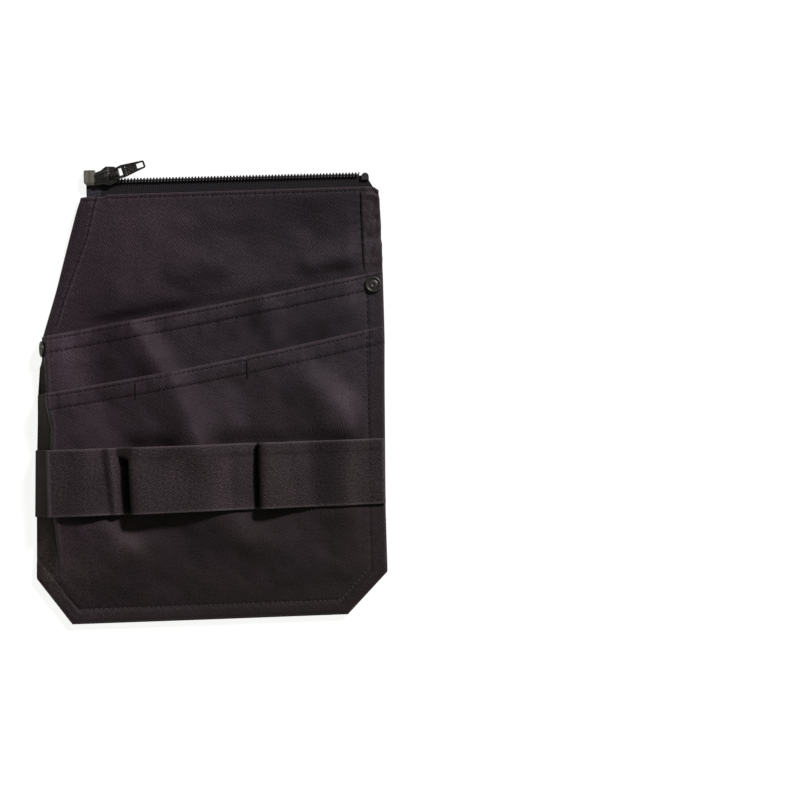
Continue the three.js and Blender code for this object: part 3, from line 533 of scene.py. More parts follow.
def weave_places(grid, turned):
    """Where each point lies in the weave: the arc length along its row and its height up the pouch, both
    turned by BAND_TURN at the turned points."""
    step = np.linalg.norm(np.diff(grid, axis=1), axis=2)
    across = np.concatenate([np.zeros((len(grid), 1)), np.cumsum(step, axis=1)], axis=1) + grid[:, :1, 0]
    up = grid[..., 1]
    if turned is None:
        return across, up
    cos, sin = math.cos(BAND_TURN), math.sin(BAND_TURN)
    return (np.where(turned, cos * across + sin * up, across),
            np.where(turned, cos * up - sin * across, up))


def over_sheet(values, order):
    """Values at a grid's points, carried over to its sheet's front, back and rim."""
    return np.concatenate([values, values, *[values[order]] * RIM_STEPS])


def cloth_sheet(name, grid, finish, rub_and_highlight, tones=(), behind=None, half=HALF_CLOTH, turned=None, side=None):
    """A closed sheet round a grid of middle points: front and back half a layer off along the normals,
    or a given depth behind, with a half-round rim. The weave attribute is the place in the weave and
    rub_and_highlight, how pale each point is made for wear and for a painted highlight; tones are its
    paler and darker patches of wear and of painted light and shade, turned gives the points where the
    weave is turned, and side another finish and the points that it is on."""
    rows, columns = grid.shape[:2]
    normal = grid_normals(grid)
    depth = np.full((rows, columns), half) if behind is None else behind
    front = grid + normal * half
    back = grid - normal * depth[..., None]
    order = rim_order(rows, columns)
    rim = round_rim(grid, front, back, order)
    points = np.concatenate([front.reshape(-1, 3), back.reshape(-1, 3), *rim])
    rings = [order] + [2 * rows * columns + k * len(order) + np.arange(len(order)) for k in range(RIM_STEPS)]
    rings.append(order + rows * columns)
    faces = [grid_faces(rows, columns), grid_faces(rows, columns, rows * columns, turned=True)]
    for near, far in zip(rings[:-1], rings[1:]):
        faces.append(np.stack([near, far, np.roll(far, -1), np.roll(near, -1)], axis=-1))
    faces = np.concatenate(faces)
    weave = over_sheet(np.stack([*weave_places(grid, turned), rub_and_highlight], axis=-1).reshape(-1, 3), order)
    tone = over_sheet(np.broadcast_to(light_and_wear_field(tones, grid), (rows, columns)).ravel(), order)
    patch = None
    if side is not None:
        patch = (side[0], over_sheet(side[1].ravel(), order)[faces].all(axis=1))
    return make_object(name, points, faces, finish, cloth=(weave, tone), patch=patch)


def straight_rows(left, right, sag, share):
    """Points of rows that run straight between their ends, each dipping by its sag halfway."""
    x = left[:, 0, None] + (right[:, 0] - left[:, 0])[:, None] * share[None]
    y = left[:, 1, None] + (right[:, 1] - left[:, 1])[:, None] * share[None]
    return x, y - sag[:, None] * np.sin(math.pi * share)[None]


def pocket_grid(ends, wall, height):
    """Grid of a pocket's middle points, finer at its mouth hem, bottom hem, side wall and right seam."""
    top = ends["left"][-1]
    left_y = stations(0, top, 1.5, [(0, 10.5, 0.7), (top - 12, top, 0.45)])
    right_y = np.interp(left_y, ends["left"], ends["right"])
    sag = np.interp(left_y, ends["left"], ends["sag"])
    left = np.stack([read_off(wall, "left", left_y), left_y], axis=-1)
    right = np.stack([right_edge(right_y), right_y], axis=-1)
    width = 197.0
    share = stations(0, width, 1.4, [(0, 14, 0.45), (width - SEAM - 2.5, width - SEAM + 2.5, 0.5)]) / width
    x, y = straight_rows(left, right, sag, share)
    return np.stack([x, y, height(x, y)], axis=-1)


def pocket_rub_and_highlight(grid, wall):
    """Wear with a painted highlight on a pocket: its edges, and the fold at the top of its side wall."""
    x, y = grid[..., 0], grid[..., 1]
    inward = inward_of(wall, x, y)
    fold = bell(inward - read_off(wall, "run", y) - 0.4, 0.8) * smooth(y, 20, 45)
    return np.maximum(edge_rub_and_highlight(grid), fold)


def side_points(grid, wall):
    """Which points lie on a pocket's side wall, below its fold."""
    x, y = grid[..., 0], grid[..., 1]
    return (wall_share(wall, x, y) < 0.93) & (y > 24)


def pocket_depth(grid, ends, wall):
    """Thickness behind a pocket's middle: the mouth's hem is doubled, away from the wall and seam."""
    x, y = grid[..., 0], grid[..., 1]
    below = below_mouth(ends, wall, x, y)
    inward = inward_of(wall, x, y)
    doubled = (1 - smooth(below, 9, 10.5)) * smooth(inward, 12, 16) * (1 - smooth(x, 78, 84))
    return HALF_CLOTH + HEM_EXTRA * doubled


def panel_grid():
    """Grid of the back panel's middle points, coarse where the pockets cover it."""
    top = PANEL_LEFT["y"][-1]
    left_y = stations(0, top, 4.0, [(160, top, 1.3), (238, top, 0.5)])
    right_y = np.interp(left_y, PANEL_LEFT["y"], PANEL_RIGHT["y"])
    left = np.stack([read_off(PANEL_LEFT, "x", left_y), left_y], axis=-1)
    right = np.stack([right_edge(right_y), right_y], axis=-1)
    width = 185.0
    bands = [(4, SIDE_HEM + 2.5, 0.4), (14, 18, 0.6), (width - SIDE_HEM - 3, width, 0.45)]
    share = stations(0, width, 1.5, bands) / width
    x, y = straight_rows(left, right, np.zeros_like(left_y), share)
    y = y + (panel_top(x) - top_line(x)) * smooth(y, 236, 245)
    return np.stack([x, y, panel_height(x, y)], axis=-1)


def edge_rub_and_highlight(grid, width=0.9):
    """Wear with a painted highlight: 1 on a sheet's border, fading inwards."""
    down = np.cumsum(np.linalg.norm(np.diff(grid, axis=0, prepend=grid[:1]), axis=2), axis=0)
    across = np.cumsum(np.linalg.norm(np.diff(grid, axis=1, prepend=grid[:, :1]), axis=2), axis=1)
    inside = np.minimum(np.minimum(down, down[-1:] - down), np.minimum(across, across[:, -1:] - across))
    return bell(inside, width)


def panel_rub_and_highlight(grid):
    """Wear with a painted highlight on the back panel: its edges, and the ridge beside its left hem's seam.
    """
    x, y = grid[..., 0], grid[..., 1]
    ridge = bell(x - left_seam(y) - LEFT_RIDGE["past"], 0.5) * smooth(y, 166, 172)
    return np.maximum(edge_rub_and_highlight(grid), 0.9 * ridge)


def facing_grid():
    """Grid of the facing's middle points: a flat band behind the zip's tape that ends just below the
    panel's top edge."""
    x, y = np.meshgrid(np.linspace(FACING["left"], FACING["right"], 120),
                       np.linspace(FACING["low"], FACING["high"], 10))
    share = (y - FACING["low"]) / (FACING["high"] - FACING["low"])
    y = y + (panel_top(x) - FACING["inset"] - FACING["high"]) * share
    return np.stack([x, y, np.full_like(x, HALF_CLOTH)], axis=-1)


def bezier(points, share):
    """Cubic curve through its two ends, pulled by the two points between."""
    share = share[:, None]
    weights = [(1 - share) ** 3, 3 * share * (1 - share) ** 2, 3 * share ** 2 * (1 - share), share ** 3]
    return sum(weight * np.array(p, dtype=float) for weight, p in zip(weights, points))


def strip_level(x, share):
    """Height up the pouch of the loop strip's rows at x."""
    left = read_off(LOWER_WALL, "left", STRIP_MIDDLE)
    along = (x - left) / (STRIP_END_X - left)
    low = STRIP_ENDS["low_left"] + (STRIP_ENDS["low_right"] - STRIP_ENDS["low_left"]) * along
    high = STRIP_ENDS["high_left"] + (STRIP_ENDS["high_right"] - STRIP_ENDS["high_left"]) * along
    return low + (high - low) * share


def strip_surface(x, y):
    """Middle of the strip where it lies on the pocket."""
    return pocket_form(LOWER_WALL, LOWER_FOLDS, np.maximum(x, STRIP_FLAT), y) + STRIP_CLEAR


def strip_grid():
    """Grid of the loop strip's middle points: round the side wall, then over the pocket in arches. Near
    the top edge the fold between the first two arches opens into a straight line."""
    bands = [(0, 3, 0.5), (30, STRIP_WIDTH, 0.5)]
    share = stations(0, STRIP_WIDTH, 1.3, bands)[:, None] / STRIP_WIDTH
    arches = []
    for start_x, start_z, pull1_x, pull1_z, pull2_x, pull2_z, end in LOOPS:
        steps = int(1.3 * (end - start_x)) + 14
        curve = [(start_x, start_z), (pull1_x, pull1_z), (pull2_x, pull2_z), (end, 0)]
        arches.append(bezier(curve, np.linspace(0, 1, steps) ** 1.25))
    tail_x = np.linspace(LOOPS[-1][-1], STRIP_END_X, 26)[1:]
    tail = np.stack([tail_x, np.zeros_like(tail_x)], axis=-1)
    path = np.concatenate([*arches, tail])
    first = len(arches[0]) - STRIP_SLIT["before"]
    last = len(arches[0]) + STRIP_SLIT["after"]
    straight = path.copy()
    straight[first:last] = np.linspace(path[first], path[last], last - first, endpoint=False)
    opened = STRIP_SLIT["open"] * smooth(share, *STRIP_SLIT["top"])[..., None]
    path = path + opened * (straight - path)
    x, arch = path[..., 0], path[..., 1]
    y = strip_level(x, share)
    edges = 0.25 * np.cos(2 * math.pi * (share - 0.5)) * smooth(arch, 0.0, 2.0)
    x = x + STRIP_SLIT["lean"] * (0.5 - share) * bell(x - STRIP_SLIT["x"], STRIP_SLIT["reach"])
    z = strip_surface(x, y) + arch + fold_height(STRIP_FOLDS, x, y) + edges
    front = np.stack([x, y, z - STRIP_DIP * bell(x - STRIP_SEWN[-1], 0.8)], axis=-1)
    up = np.linspace(0, 1, 24, endpoint=False)[None]
    wall_y = y[:, :1] + 0 * up
    foot_x = read_off(LOWER_WALL, "left", wall_y) - STRIP_FOOT["out"]
    wall_x = foot_x + (x[:, :1] - foot_x) * up ** 1.15
    wall_z = STRIP_FOOT["z"] + (front[:, :1, 2] - STRIP_FOOT["z"]) * up
    return np.concatenate([np.stack([wall_x, wall_y, wall_z], axis=-1), front], axis=1)


def strip_rub_and_highlight(grid):
    """Wear with a painted highlight on the strip: its edges, and the fold where it turns over the pocket's
    side.
    """
    return np.maximum(edge_rub_and_highlight(grid, 0.8), bell(grid[..., 0] - LOOPS[0][0] - 0.4, 1.1))


def stitch_row(path, start=0.4):
    """Ends of the stitches along a path of points: one stitch of a length every pitch."""
    length = STITCH["length"]
    reach = np.concatenate([[0], np.cumsum(np.linalg.norm(np.diff(path, axis=0), axis=1))])
    begin = np.arange(start, reach[-1] - length, STITCH["pitch"])
    place = [np.stack([np.interp(s, reach, path[:, k]) for k in range(3)], axis=-1)
             for s in (begin, begin + length)]
    return np.stack(place, axis=1)


def thread_mesh(ends, radius, sink=0.5):
    """Points and faces of round threads: each a six-sided capsule between its two ends, which dip by
    a share of the radius into the cloth."""
    first, last = ends[:, 0], ends[:, 1]
    along = unit(last - first)
    side = unit(np.cross(np.array([0.0, 0.0, 1.0]), along))
    lift = np.cross(along, side)
    sides = 6
    rings = ((0.14, 0.8, 0.2), (0.5, 1.0, 0.0), (0.86, 0.8, 0.2))
    turns = 2 * math.pi * np.arange(sides) / sides
    points = [first - lift * radius * sink]
    for share, width, drop in rings:
        centre = first + (last - first) * share - lift * radius * drop
        points += [centre + (side * math.cos(t) + lift * math.sin(t)) * radius * width for t in turns]
    points.append(last - lift * radius * sink)
    points = np.stack(points, axis=1)
    count = points.shape[1]
    ring = 1 + np.arange(sides)
    after = np.roll(ring, -1)
    last_ring = (len(rings) - 1) * sides
    quads = [np.stack([ring, after, after + sides, ring + sides], axis=-1) + k * sides
             for k in range(len(rings) - 1)]
    fans = [np.stack([np.zeros(sides, int), after, ring], axis=-1),
            np.stack([np.full(sides, count - 1), last_ring + ring, last_ring + after], axis=-1)]
    shift = count * np.arange(len(ends))[:, None, None]
    faces = list((np.concatenate(quads)[None] + shift).reshape(-1, 4))
    faces += list((np.concatenate(fans)[None] + shift).reshape(-1, 3))
    return points.reshape(-1, 3), faces


def on_cloth(height, x, y, lift=0.0):
    """Points on the front of a cloth whose middle has a height function."""
    return np.stack([x, y, height(x, y) + HALF_CLOTH + lift], axis=-1)


def mouth_path(ends, wall, height, row):
    """Path of a stitch row below a pocket's mouth."""
    x = np.linspace(*MOUTH_ROW_ENDS, 380)
    return on_cloth(height, x, mouth_line(ends, wall, x) - row / MOUTH_LEAN)


def bottom_path():
    """Path of the stitch row round the bottom hem."""
    corners = np.array(BOTTOM_ROW)
    reach = np.concatenate([[0], np.cumsum(np.hypot(*np.diff(corners, axis=0).T))])
    place = np.linspace(0, reach[-1], 500)
    x, y = (np.interp(place, reach, corners[:, k]) for k in range(2))
    return on_cloth(lower_height, x, y)


def upright_path(height, x, low, high):
    """Path of an upright stitch row."""
    y = np.linspace(low, high, 200)
    return on_cloth(height, np.full_like(y, x), y)


def strip_front(x, y):
    """Middle of the strip along its sewn lines."""
    return strip_surface(x, y) - STRIP_DIP


def sewn_paths():
    """Paths of the dark stitch rows: mouths, right seam, loop strip, right hem and top hem."""
    paths = [mouth_path(UPPER_ENDS, UPPER_WALL, upper_height, row) for row in MOUTH_ROWS]
    paths += [mouth_path(LOWER_ENDS, LOWER_WALL, lower_height, row) for row in MOUTH_ROWS]
    paths.append(upright_path(lower_height, *LOWER_UPRIGHT))
    paths.append(upright_path(upper_height, *UPPER_UPRIGHT))
    paths += [upright_path(strip_front, place, *STRIP_ROW_ENDS) for place in STRIP_SEWN]
    y = np.linspace(*RIGHT_ROW_ENDS, 200)
    paths.append(on_cloth(panel_height, right_edge(y) - RIGHT_ROW, y))
    x = np.linspace(*TOP_ROW_ENDS, 400)
    paths.append(on_cloth(panel_height, x, panel_top(x) - TOP_ROW))
    return paths


def left_hem_path():
    """Path of the stitch row beside the panel's left hem."""
    y = np.linspace(*LEFT_ROW_ENDS, 300)
    return on_cloth(panel_height, left_seam(y), y)


def bar_tack(x, low, high):
    """Stitch ends of a bar tack: short threads packed side by side up a line."""
    y = np.arange(low, high, 0.5)
    left = on_cloth(lower_height, np.full_like(y, x - 0.65), y, 0.05)
    right = on_cloth(lower_height, np.full_like(y, x + 0.65), y + 0.2, 0.05)
    return np.stack([left, right], axis=1)


def capped_rings(rings, ends):
    """Points and faces of rings of points one after another, closed by a fan to a point at each end."""
    count, sides = rings.shape[:2]
    ring = np.arange(sides)
    after = np.roll(ring, -1)
    last = (count - 1) * sides
    faces = list(grid_faces(count, sides, closed=True))
    faces += list(np.stack([np.full(sides, count * sides), after, ring], axis=-1))
    faces += list(np.stack([np.full(sides, count * sides + 1), last + ring, last + after], axis=-1))
    return np.concatenate([rings.reshape(-1, 3), ends]), faces


def tube(path, radius, sides, reference):
    """Points and faces of a tube round a path, its ring turned from a fixed direction."""
    along = unit(np.gradient(path, axis=0))
    side = unit(np.cross(along, np.array(reference, dtype=float)))
    up = np.cross(side, along)
    turns = 2 * math.pi * np.arange(sides) / sides
    rings = np.stack([path + (side * math.cos(t) + up * math.sin(t)) * radius for t in turns], axis=1)
    return capped_rings(rings, path[[0, -1]])


def lathe(profile, sides, seat, facing):
    """Points and faces of a profile of radius and height turned round an axis, which faces one way from
    its seat; the profile's ends lie on the axis."""
    side = unit(np.cross(np.array([0.0, 1.0, 0.0]), facing))
    up = np.cross(facing, side)
    radius, height = np.array(profile, dtype=float).T
    turns = 2 * math.pi * np.arange(sides) / sides
    around = side * np.cos(turns)[:, None] + up * np.sin(turns)[:, None]
    rings = seat + facing * height[1:-1, None, None] + around[None] * radius[1:-1, None, None]
    return capped_rings(rings, seat + facing * height[[0, -1], None])


def relief_block(top, low):
    """Points and faces of a closed block: a grid of top points over a flat underside."""
    rows, columns = top.shape[:2]
    under = top.copy()
    under[..., 2] = low
    order = rim_order(rows, columns)
    below = order + rows * columns
    sides = np.stack([order, below, np.roll(below, -1), np.roll(order, -1)], axis=-1)
    faces = [grid_faces(rows, columns), grid_faces(rows, columns, rows * columns, turned=True), sides]
    return np.concatenate([top.reshape(-1, 3), under.reshape(-1, 3)]), np.concatenate(faces)


def turned_plan(seat, turn, along, across, height):
    """Points on a piece's own axes, turned by an angle in plan and moved to its seat."""
    cos, sin = math.cos(math.radians(turn)), math.sin(math.radians(turn))
    x = seat[0] + along * cos - across * sin
    y = seat[1] + along * sin + across * cos
    return np.stack([x, y, height], axis=-1)


def slider_crown():
    """Crown of the slider: long ridges that run along it, rising from an end that leans with the box's
    side and falling again to the arch, so that the pull clears it when it is turned back."""
    along, half, rise = (np.array(CROWN[name])[None] for name in ("along", "half", "rise"))
    share, climb = (np.array(CROWN_RIDGES[name])[:, None] for name in ("share", "climb"))
    across = half * share
    along = along + CROWN["lean"] * across * (1 - smooth(along, -6, -3))
    return turned_plan(SLIDER["seat"], SLIDER["turn"], along, across, SLIDER["top"] + rise * climb)


def pull_face():
    """Face of the pull's plate: a raised border round a floor of small cast grains."""
    near, far = PULL_PLATE["near"], PULL_PLATE["far"]
    along, share = np.meshgrid(np.linspace(near, far, 44), np.linspace(-1, 1, 27))
    half = np.interp(along, [near, PULL_PLATE["tip"]], PULL_PLATE["half"])
    border = smooth(np.abs(share), 0.74, 0.82)
    end = np.minimum(along - near, far - along)
    border = np.maximum(border, 1 - smooth(end, 0.25, 0.5))
    grains = np.clip(waves(along, share * half, 51, 1.3, 9), -0.6, 1.2)
    height = PULL_PLATE["top"] + 0.22 * border + 0.1 * grains * (1 - border)
    return turned_plan(PULL_SEAT, PULL_PLATE["turn"], along, share * half, height)


def tape_grid():
    """Grid of the zip tape's middle points: a flat band whose right end slants in near its top edge."""
    share, y = np.meshgrid(np.linspace(0, 1, 240), np.linspace(TAPE["low"], TAPE["high"], 24))
    slant = np.clip((y - TAPE["slant_y"]) / (TAPE["high"] - TAPE["slant_y"]), 0, 1)
    right = TAPE["right"] - (TAPE["right"] - TAPE["slant_x"]) * slant
    x = TAPE["left"] + (right - TAPE["left"]) * share
    return np.stack([x, y, np.full_like(x, TAPE_Z)], axis=-1)


def coil_path():
    """Helix of the coil's wire: an oval ring carried along X by one pitch a turn."""
    turns = (COIL["right"] - COIL["left"]) / COIL["pitch"]
    phase = np.linspace(0, 2 * math.pi * turns, int(turns * 14))
    x = COIL["left"] + COIL["pitch"] * phase / (2 * math.pi)
    y = COIL["y"] + COIL["half_y"] * np.cos(phase)
    return np.stack([x, y, COIL["z"] + COIL["half_z"] * np.sin(phase)], axis=-1)


def core_path():
    """Straight path of the cord inside the coil."""
    x = np.linspace(COIL["left"], COIL["right"], 60)
    return np.stack([x, np.full_like(x, COIL["core_y"]), np.full_like(x, COIL["z"])], axis=-1)


def coil_threads():
    """Ends of the sewing threads that show between the coil's turns, low on its front."""
    x = np.arange(COIL["left"] + 0.4, COIL["right"] - 0.6, COIL["pitch"])
    z = np.full_like(x, COIL["z"] + COIL["half_z"])
    low = np.stack([x, np.full_like(x, COIL["y"] + COIL_THREAD["low"]), z], axis=-1)
    return np.stack([low, low + np.array(COIL_THREAD["lean"])], axis=1)


def rivet_profile():
    """Profile of a rivet: shank, flat underside, rounded rim, a groove, then a low dome with a dimple."""
    outer = RIVET_RADIUS
    turns = np.linspace(-0.3 * math.pi, 0.85 * math.pi, 9)
    rim = [(outer - 0.7 + 0.7 * math.cos(t), 1.0 + 0.7 * math.sin(t)) for t in turns]
    groove = [(outer - 1.5, 1.0), (outer - 1.75, 0.92), (outer - 2.0, 1.02)]
    dome = [(r, 1.45 - 0.055 * r ** 2) for r in np.linspace(outer - 2.15, 1.2, 6)]
    dimple = [(1.0, 1.32), (0.75, 1.1), (0.45, 0.95), (0.2, 0.9), (0, 0.89)]
    return [(0, -1.6), (1.2, -1.6), (1.2, 0), (outer - 0.5, 0.05), *rim, *groove, *dome, *dimple]


def rivet_frame(x, y):
    """Seat of a rivet on the front of the upper pocket, and the way that it faces."""
    step = 0.2
    height = pocket_form(UPPER_WALL, UPPER_FOLDS, np.array([x - step, x, x + step]), np.full(3, y))
    facing = unit(np.array([(height[0] - height[2]) / (2 * step), 0, 1]))
    return np.array([x, y, height[1]]) + facing * (HALF_CLOTH + RIVET_GAP), facing


class Wire:
    """A shader socket that plain arithmetic works on: each operator adds a Math node."""

    def __init__(self, finish, socket):
        self.finish = finish
        self.socket = socket

    def math(self, operation, *others):
        values = dict(enumerate([self, *others]))
        return self.finish.node("ShaderNodeMath", {"operation": operation}, values)

    def __add__(self, other):
        return self.math("ADD", other)

    def __sub__(self, other):
        return self.math("SUBTRACT", other)

    def __rsub__(self, other):
        return (self * -1).math("ADD", other)

    def __mul__(self, other):
        return self.math("MULTIPLY", other)

    __radd__ = __add__
    __rmul__ = __mul__

    def sine(self):
        return self.math("SINE")

    def clamp(self):
        return self.math("MAXIMUM", 0.0).math("MINIMUM", 1.0)

    def above(self, low, high):
        """Runs from 0 at low to 1 at high."""
        values = {"Value": self, "From Min": low, "From Max": high}
        return self.finish.node("ShaderNodeMapRange", {"clamp": True}, values)


class Finish:
    """A material that is being wired up: node adds any node, with its settings set before its sockets."""

    def __init__(self, name):
        self.material = bpy.data.materials.new(name)
        self.material.use_nodes = True
        self.tree = self.material.node_tree
        self.tree.nodes.clear()

    def node(self, kind, settings=None, values=None, out=0):
        made = self.tree.nodes.new(kind)
        for key, value in (settings or {}).items():
            setattr(made, key, value)
        for key, value in (values or {}).items():
            if isinstance(value, Wire):
                self.tree.links.new(value.socket, made.inputs[key])
            else:
                made.inputs[key].default_value = value
        return Wire(self, made.outputs[out])

    def attribute(self, name):
        """An attribute of the mesh, as a vector and as its three numbers."""
        vector = self.node("ShaderNodeAttribute", {"attribute_name": name}, out="Vector")
        return [vector] + [self.node("ShaderNodeSeparateXYZ", values={0: vector}, out=k) for k in range(3)]

    def place(self, scale=1000.0):
        """The object's own coordinates, in millimetres unless scaled otherwise."""
        place = self.node("ShaderNodeTexCoord", out="Object")
        return self.node("ShaderNodeVectorMath", {"operation": "SCALE"}, {0: place, "Scale": scale})

    def noise(self, vector, scale, detail=2.0, roughness=0.5):
        values = {"Vector": vector, "Scale": scale, "Detail": detail, "Roughness": roughness}
        return self.node("ShaderNodeTexNoise", None, values)

    def vector(self, x, y, z=0.0):
        return self.node("ShaderNodeCombineXYZ", None, {0: x, 1: y, 2: z})

    def mix(self, share, first, second, blend="MIX"):
        """Blend of two colours."""
        settings = {"data_type": "RGBA", "blend_type": blend}
        return self.node("ShaderNodeMix", settings, {0: share, 6: first, 7: second}, out=2)

    def bump(self, height, distance, strength=1.0):
        values = {"Height": height, "Distance": distance, "Strength": strength}
        return self.node("ShaderNodeBump", None, values)

    def surface(self, **values):
        """Ends the material in a Principled shader; underscores stand for spaces in its sockets' names."""
        named = {key.replace("_", " "): value for key, value in values.items()}
        shader = self.node("ShaderNodeBsdfPrincipled", None, named)
        output = self.tree.nodes.new("ShaderNodeOutputMaterial")
        self.tree.links.new(shader.socket, output.inputs["Surface"])
        return self.material


def colour(red, green, blue):
    """An opaque colour."""
    return (red, green, blue, 1.0)


def twill(name, lean, dark, light, pale_wear_and_highlight, grey=None, low=None, grain=1.0, gloss=0.18):
    """Twill: fine diagonal ribs that lean by an angle, broken up by short yarns and fuzz, with a cast
    that wanders at random over the cloth and runs from brown low on the right to purple high on the
    left, or to grey high on the right, or to another tone near the bottom. The run to paler purple
    up and to the left, and the grey high on the right, are painted light, the sheen of the key light
    across the pouch. The cloth is paler where rub_and_highlight is above 0: wear, and a painted
    highlight on edges and folds. Grain is how strongly the yarns show."""
    finish = Finish(name)
    place, across, up, rub_and_highlight = finish.attribute("weave")
    cos, sin = math.cos(math.radians(lean)), math.sin(math.radians(lean))
    over = across * sin + up * cos
    along = up * sin - across * cos
    wander = finish.noise(place, 0.25, 3.0) - 0.5
    rib = (over * (2 * math.pi / RIB_PITCH) + wander * 4.0).sine() * 0.5 + 0.5
    yarns = finish.noise(finish.vector(over * 1.3, along * 0.5), 1.0, 2.0, 0.6)
    fuzz = finish.noise(place, 1.2, 3.0, 0.65)
    thread = rib * yarns * 0.4 + yarns * 0.7 + fuzz * 0.75
    # Painted light: the cast grows paler and more purple up the pouch and darker to the right, standing for
    # the key light's sheen.
    cast = finish.noise(place, 0.035, 3.0, 0.6) * 1.2 + up.above(10, 190) * 0.7
    cast = (cast - across.above(-90, 90) * 0.3).above(0.3, 1.15)
    ground = finish.mix(cast, colour(*dark), colour(*light))
    if grey is not None:
        # Painted light: high on the right the purple sheen gives way to a greyer cloth.
        ground = finish.mix(across.above(-40, 70) * up.above(80, 160) * 0.85, ground, colour(*grey))
    if low is not None:
        ground = finish.mix(up.above(64, 36), ground, colour(*low))
    # The tone attribute's patches paint wear and also light and shade.
    tone = finish.node("ShaderNodeAttribute", {"attribute_name": "tone"}, out="Fac")
    mottle = finish.noise(place, 0.09, 3.0, 0.6) * 0.6 + 0.7
    level = ((thread - 0.8) * (2.2 * grain) + 0.82) * tone * mottle
    woven = finish.mix(1.0, ground, finish.vector(level, level, level), "MULTIPLY")
    # Paler where rub_and_highlight is above 0: wear, with a painted highlight on edges and fold lines.
    wear_and_highlight_share = (rub_and_highlight * (yarns * 0.9 + 0.35)).clamp()
    base = finish.mix(wear_and_highlight_share, woven, colour(*pale_wear_and_highlight))
    return finish.surface(Base_Color=base, Roughness=0.74 - cast * 0.14,
                          Normal=finish.bump(thread, 0.0004, 0.8 * grain),
                          Specular_IOR_Level=gloss, Specular_Tint=colour(1.0, 0.8, 0.92))


def tape_weave(name):
    """Zip tape: fine ribs along the tape, crossed by yarns that catch the light as specks, and a
    bluish grey film that stiffens its left end."""
    finish = Finish(name)
    place, across, up = finish.attribute("weave")[:3]
    ribs = (up * (2 * math.pi / 0.9)).sine() * 0.5 + 0.5
    yarns = (across * (2 * math.pi / 1.15) + ribs * 1.6).sine() * 0.5 + 0.5
    specks = finish.noise(place, 1.4, 2.0, 0.6)
    thread = ribs * 0.4 + yarns * 0.4 + specks * 0.6
    dark, light = colour(0.0015, 0.0012, 0.0015), colour(0.016, 0.0135, 0.016)
    base = finish.mix(thread.above(0.35, 1.15), dark, light)
    # The film's pale mottling is painted glints.
    film = finish.noise(place, 0.7, 3.0, 0.7).above(0.42, 0.68)
    film = finish.mix(film, colour(0.011, 0.0104, 0.0130), colour(0.036, 0.034, 0.042))
    base = finish.mix(across.above(FILM_END + 0.4, FILM_END - 0.4), base, film)
    return finish.surface(Base_Color=base, Roughness=0.8, Normal=finish.bump(thread, 0.0002, 0.6),
                          Specular_IOR_Level=0.12)


def spun(name, low, high, roughness, gloss):
    """Thread or nylon: a plain tone that wanders a little."""
    finish = Finish(name)
    base = finish.mix(finish.noise(finish.place(), 0.9, 2.0), colour(*low), colour(*high))
    return finish.surface(Base_Color=base, Roughness=roughness, Specular_IOR_Level=gloss)


def satin_metal(name, low, high, metallic, roughness, grain=1.5):
    """Satin metal or paint: a tone and a roughness that wander, with a faint grain."""
    finish = Finish(name)
    place = finish.place()
    cloud = finish.noise(place, 0.35, 3.0).above(0.35, 0.65)
    speck = finish.noise(place, grain, 2.0, 0.6)
    base = finish.mix(cloud * 0.6 + speck * 0.4, colour(*low), colour(*high))
    rough = speck * 0.2 + (roughness - 0.1)
    return finish.surface(Base_Color=base, Roughness=rough, Metallic=metallic,
                          Normal=finish.bump(speck, 0.00005, 0.4))


def box_paint(name):
    """Satin paint of the zip's box: pale olive, with a greyer line up its middle and a darker foot."""
    finish = Finish(name)
    place = finish.place()
    x, y = [finish.node("ShaderNodeSeparateXYZ", values={0: place}, out=k) for k in range(2)]
    speck = finish.noise(place, 1.2, 3.0, 0.6)
    line = 1 - (x - (BOX_LINE + PLAN_SHIFT[0])).math("ABSOLUTE").above(0.25, 0.75)
    foot = y.above(BOX_FOOT + PLAN_SHIFT[1] + 0.6, BOX_FOOT + PLAN_SHIFT[1] - 0.4)
    base = finish.mix(speck.above(0.3, 0.7), colour(0.062, 0.059, 0.045), colour(0.090, 0.087, 0.072))
    base = finish.mix(line * 0.75, base, colour(0.030, 0.030, 0.025))
    base = finish.mix(foot * 0.7, base, colour(0.020, 0.019, 0.011))
    return finish.surface(Base_Color=base, Roughness=speck * 0.2 + 0.4, Specular_IOR_Level=0.3,
                          Normal=finish.bump(speck, 0.00005, 0.4))


def make_floor():
    """A wide white floor under the pouch, bright enough to stay white where shadows fall."""
    finish = Finish("floor_white")
    speck = finish.noise(finish.place(1.0), 30.0, 2.0)
    base = finish.mix(speck, colour(0.09, 0.09, 0.088), colour(0.11, 0.11, 0.108))
    material = finish.surface(Base_Color=base, Roughness=0.9, Specular_IOR_Level=0.0,
                              Emission_Color=colour(1, 1, 0.985), Emission_Strength=0.9)
    size, level = 3.0, -0.0004
    mesh = bpy.data.meshes.new("floor")
    corners = [(-size, -size), (size, -size), (size, size), (-size, size)]
    mesh.from_pydata([(x, y, level) for x, y in corners], [], [(0, 1, 2, 3)])
    mesh.materials.append(material)
    floor = put_in_scene("floor", mesh)


def make_camera():
    """Looks straight down on the picture's middle, turned as the pouch lies in the picture."""
    picture = 800
    mm_per_pixel = 0.575
    roll = math.radians(1.45)
    zero_x, zero_y = 211.5, 620.0
    right, up = picture / 2 - zero_x, zero_y - picture / 2
    x = mm_per_pixel * (right * math.cos(roll) + up * math.sin(roll))
    y = mm_per_pixel * (up * math.cos(roll) - right * math.sin(roll))
    distance = 1900.0
    data = bpy.data.cameras.new("camera")
    data.sensor_width = 36.0
    data.lens = 36.0 * distance / (picture * mm_per_pixel)
    data.clip_start, data.clip_end = 0.05, 20.0
    camera = put_in_scene("camera", data)
    camera.location = (np.array([x, y, distance]) + PLAN_SHIFT) * MM
    camera.rotation_euler = (0, 0, -roll)
    bpy.context.scene.camera = camera


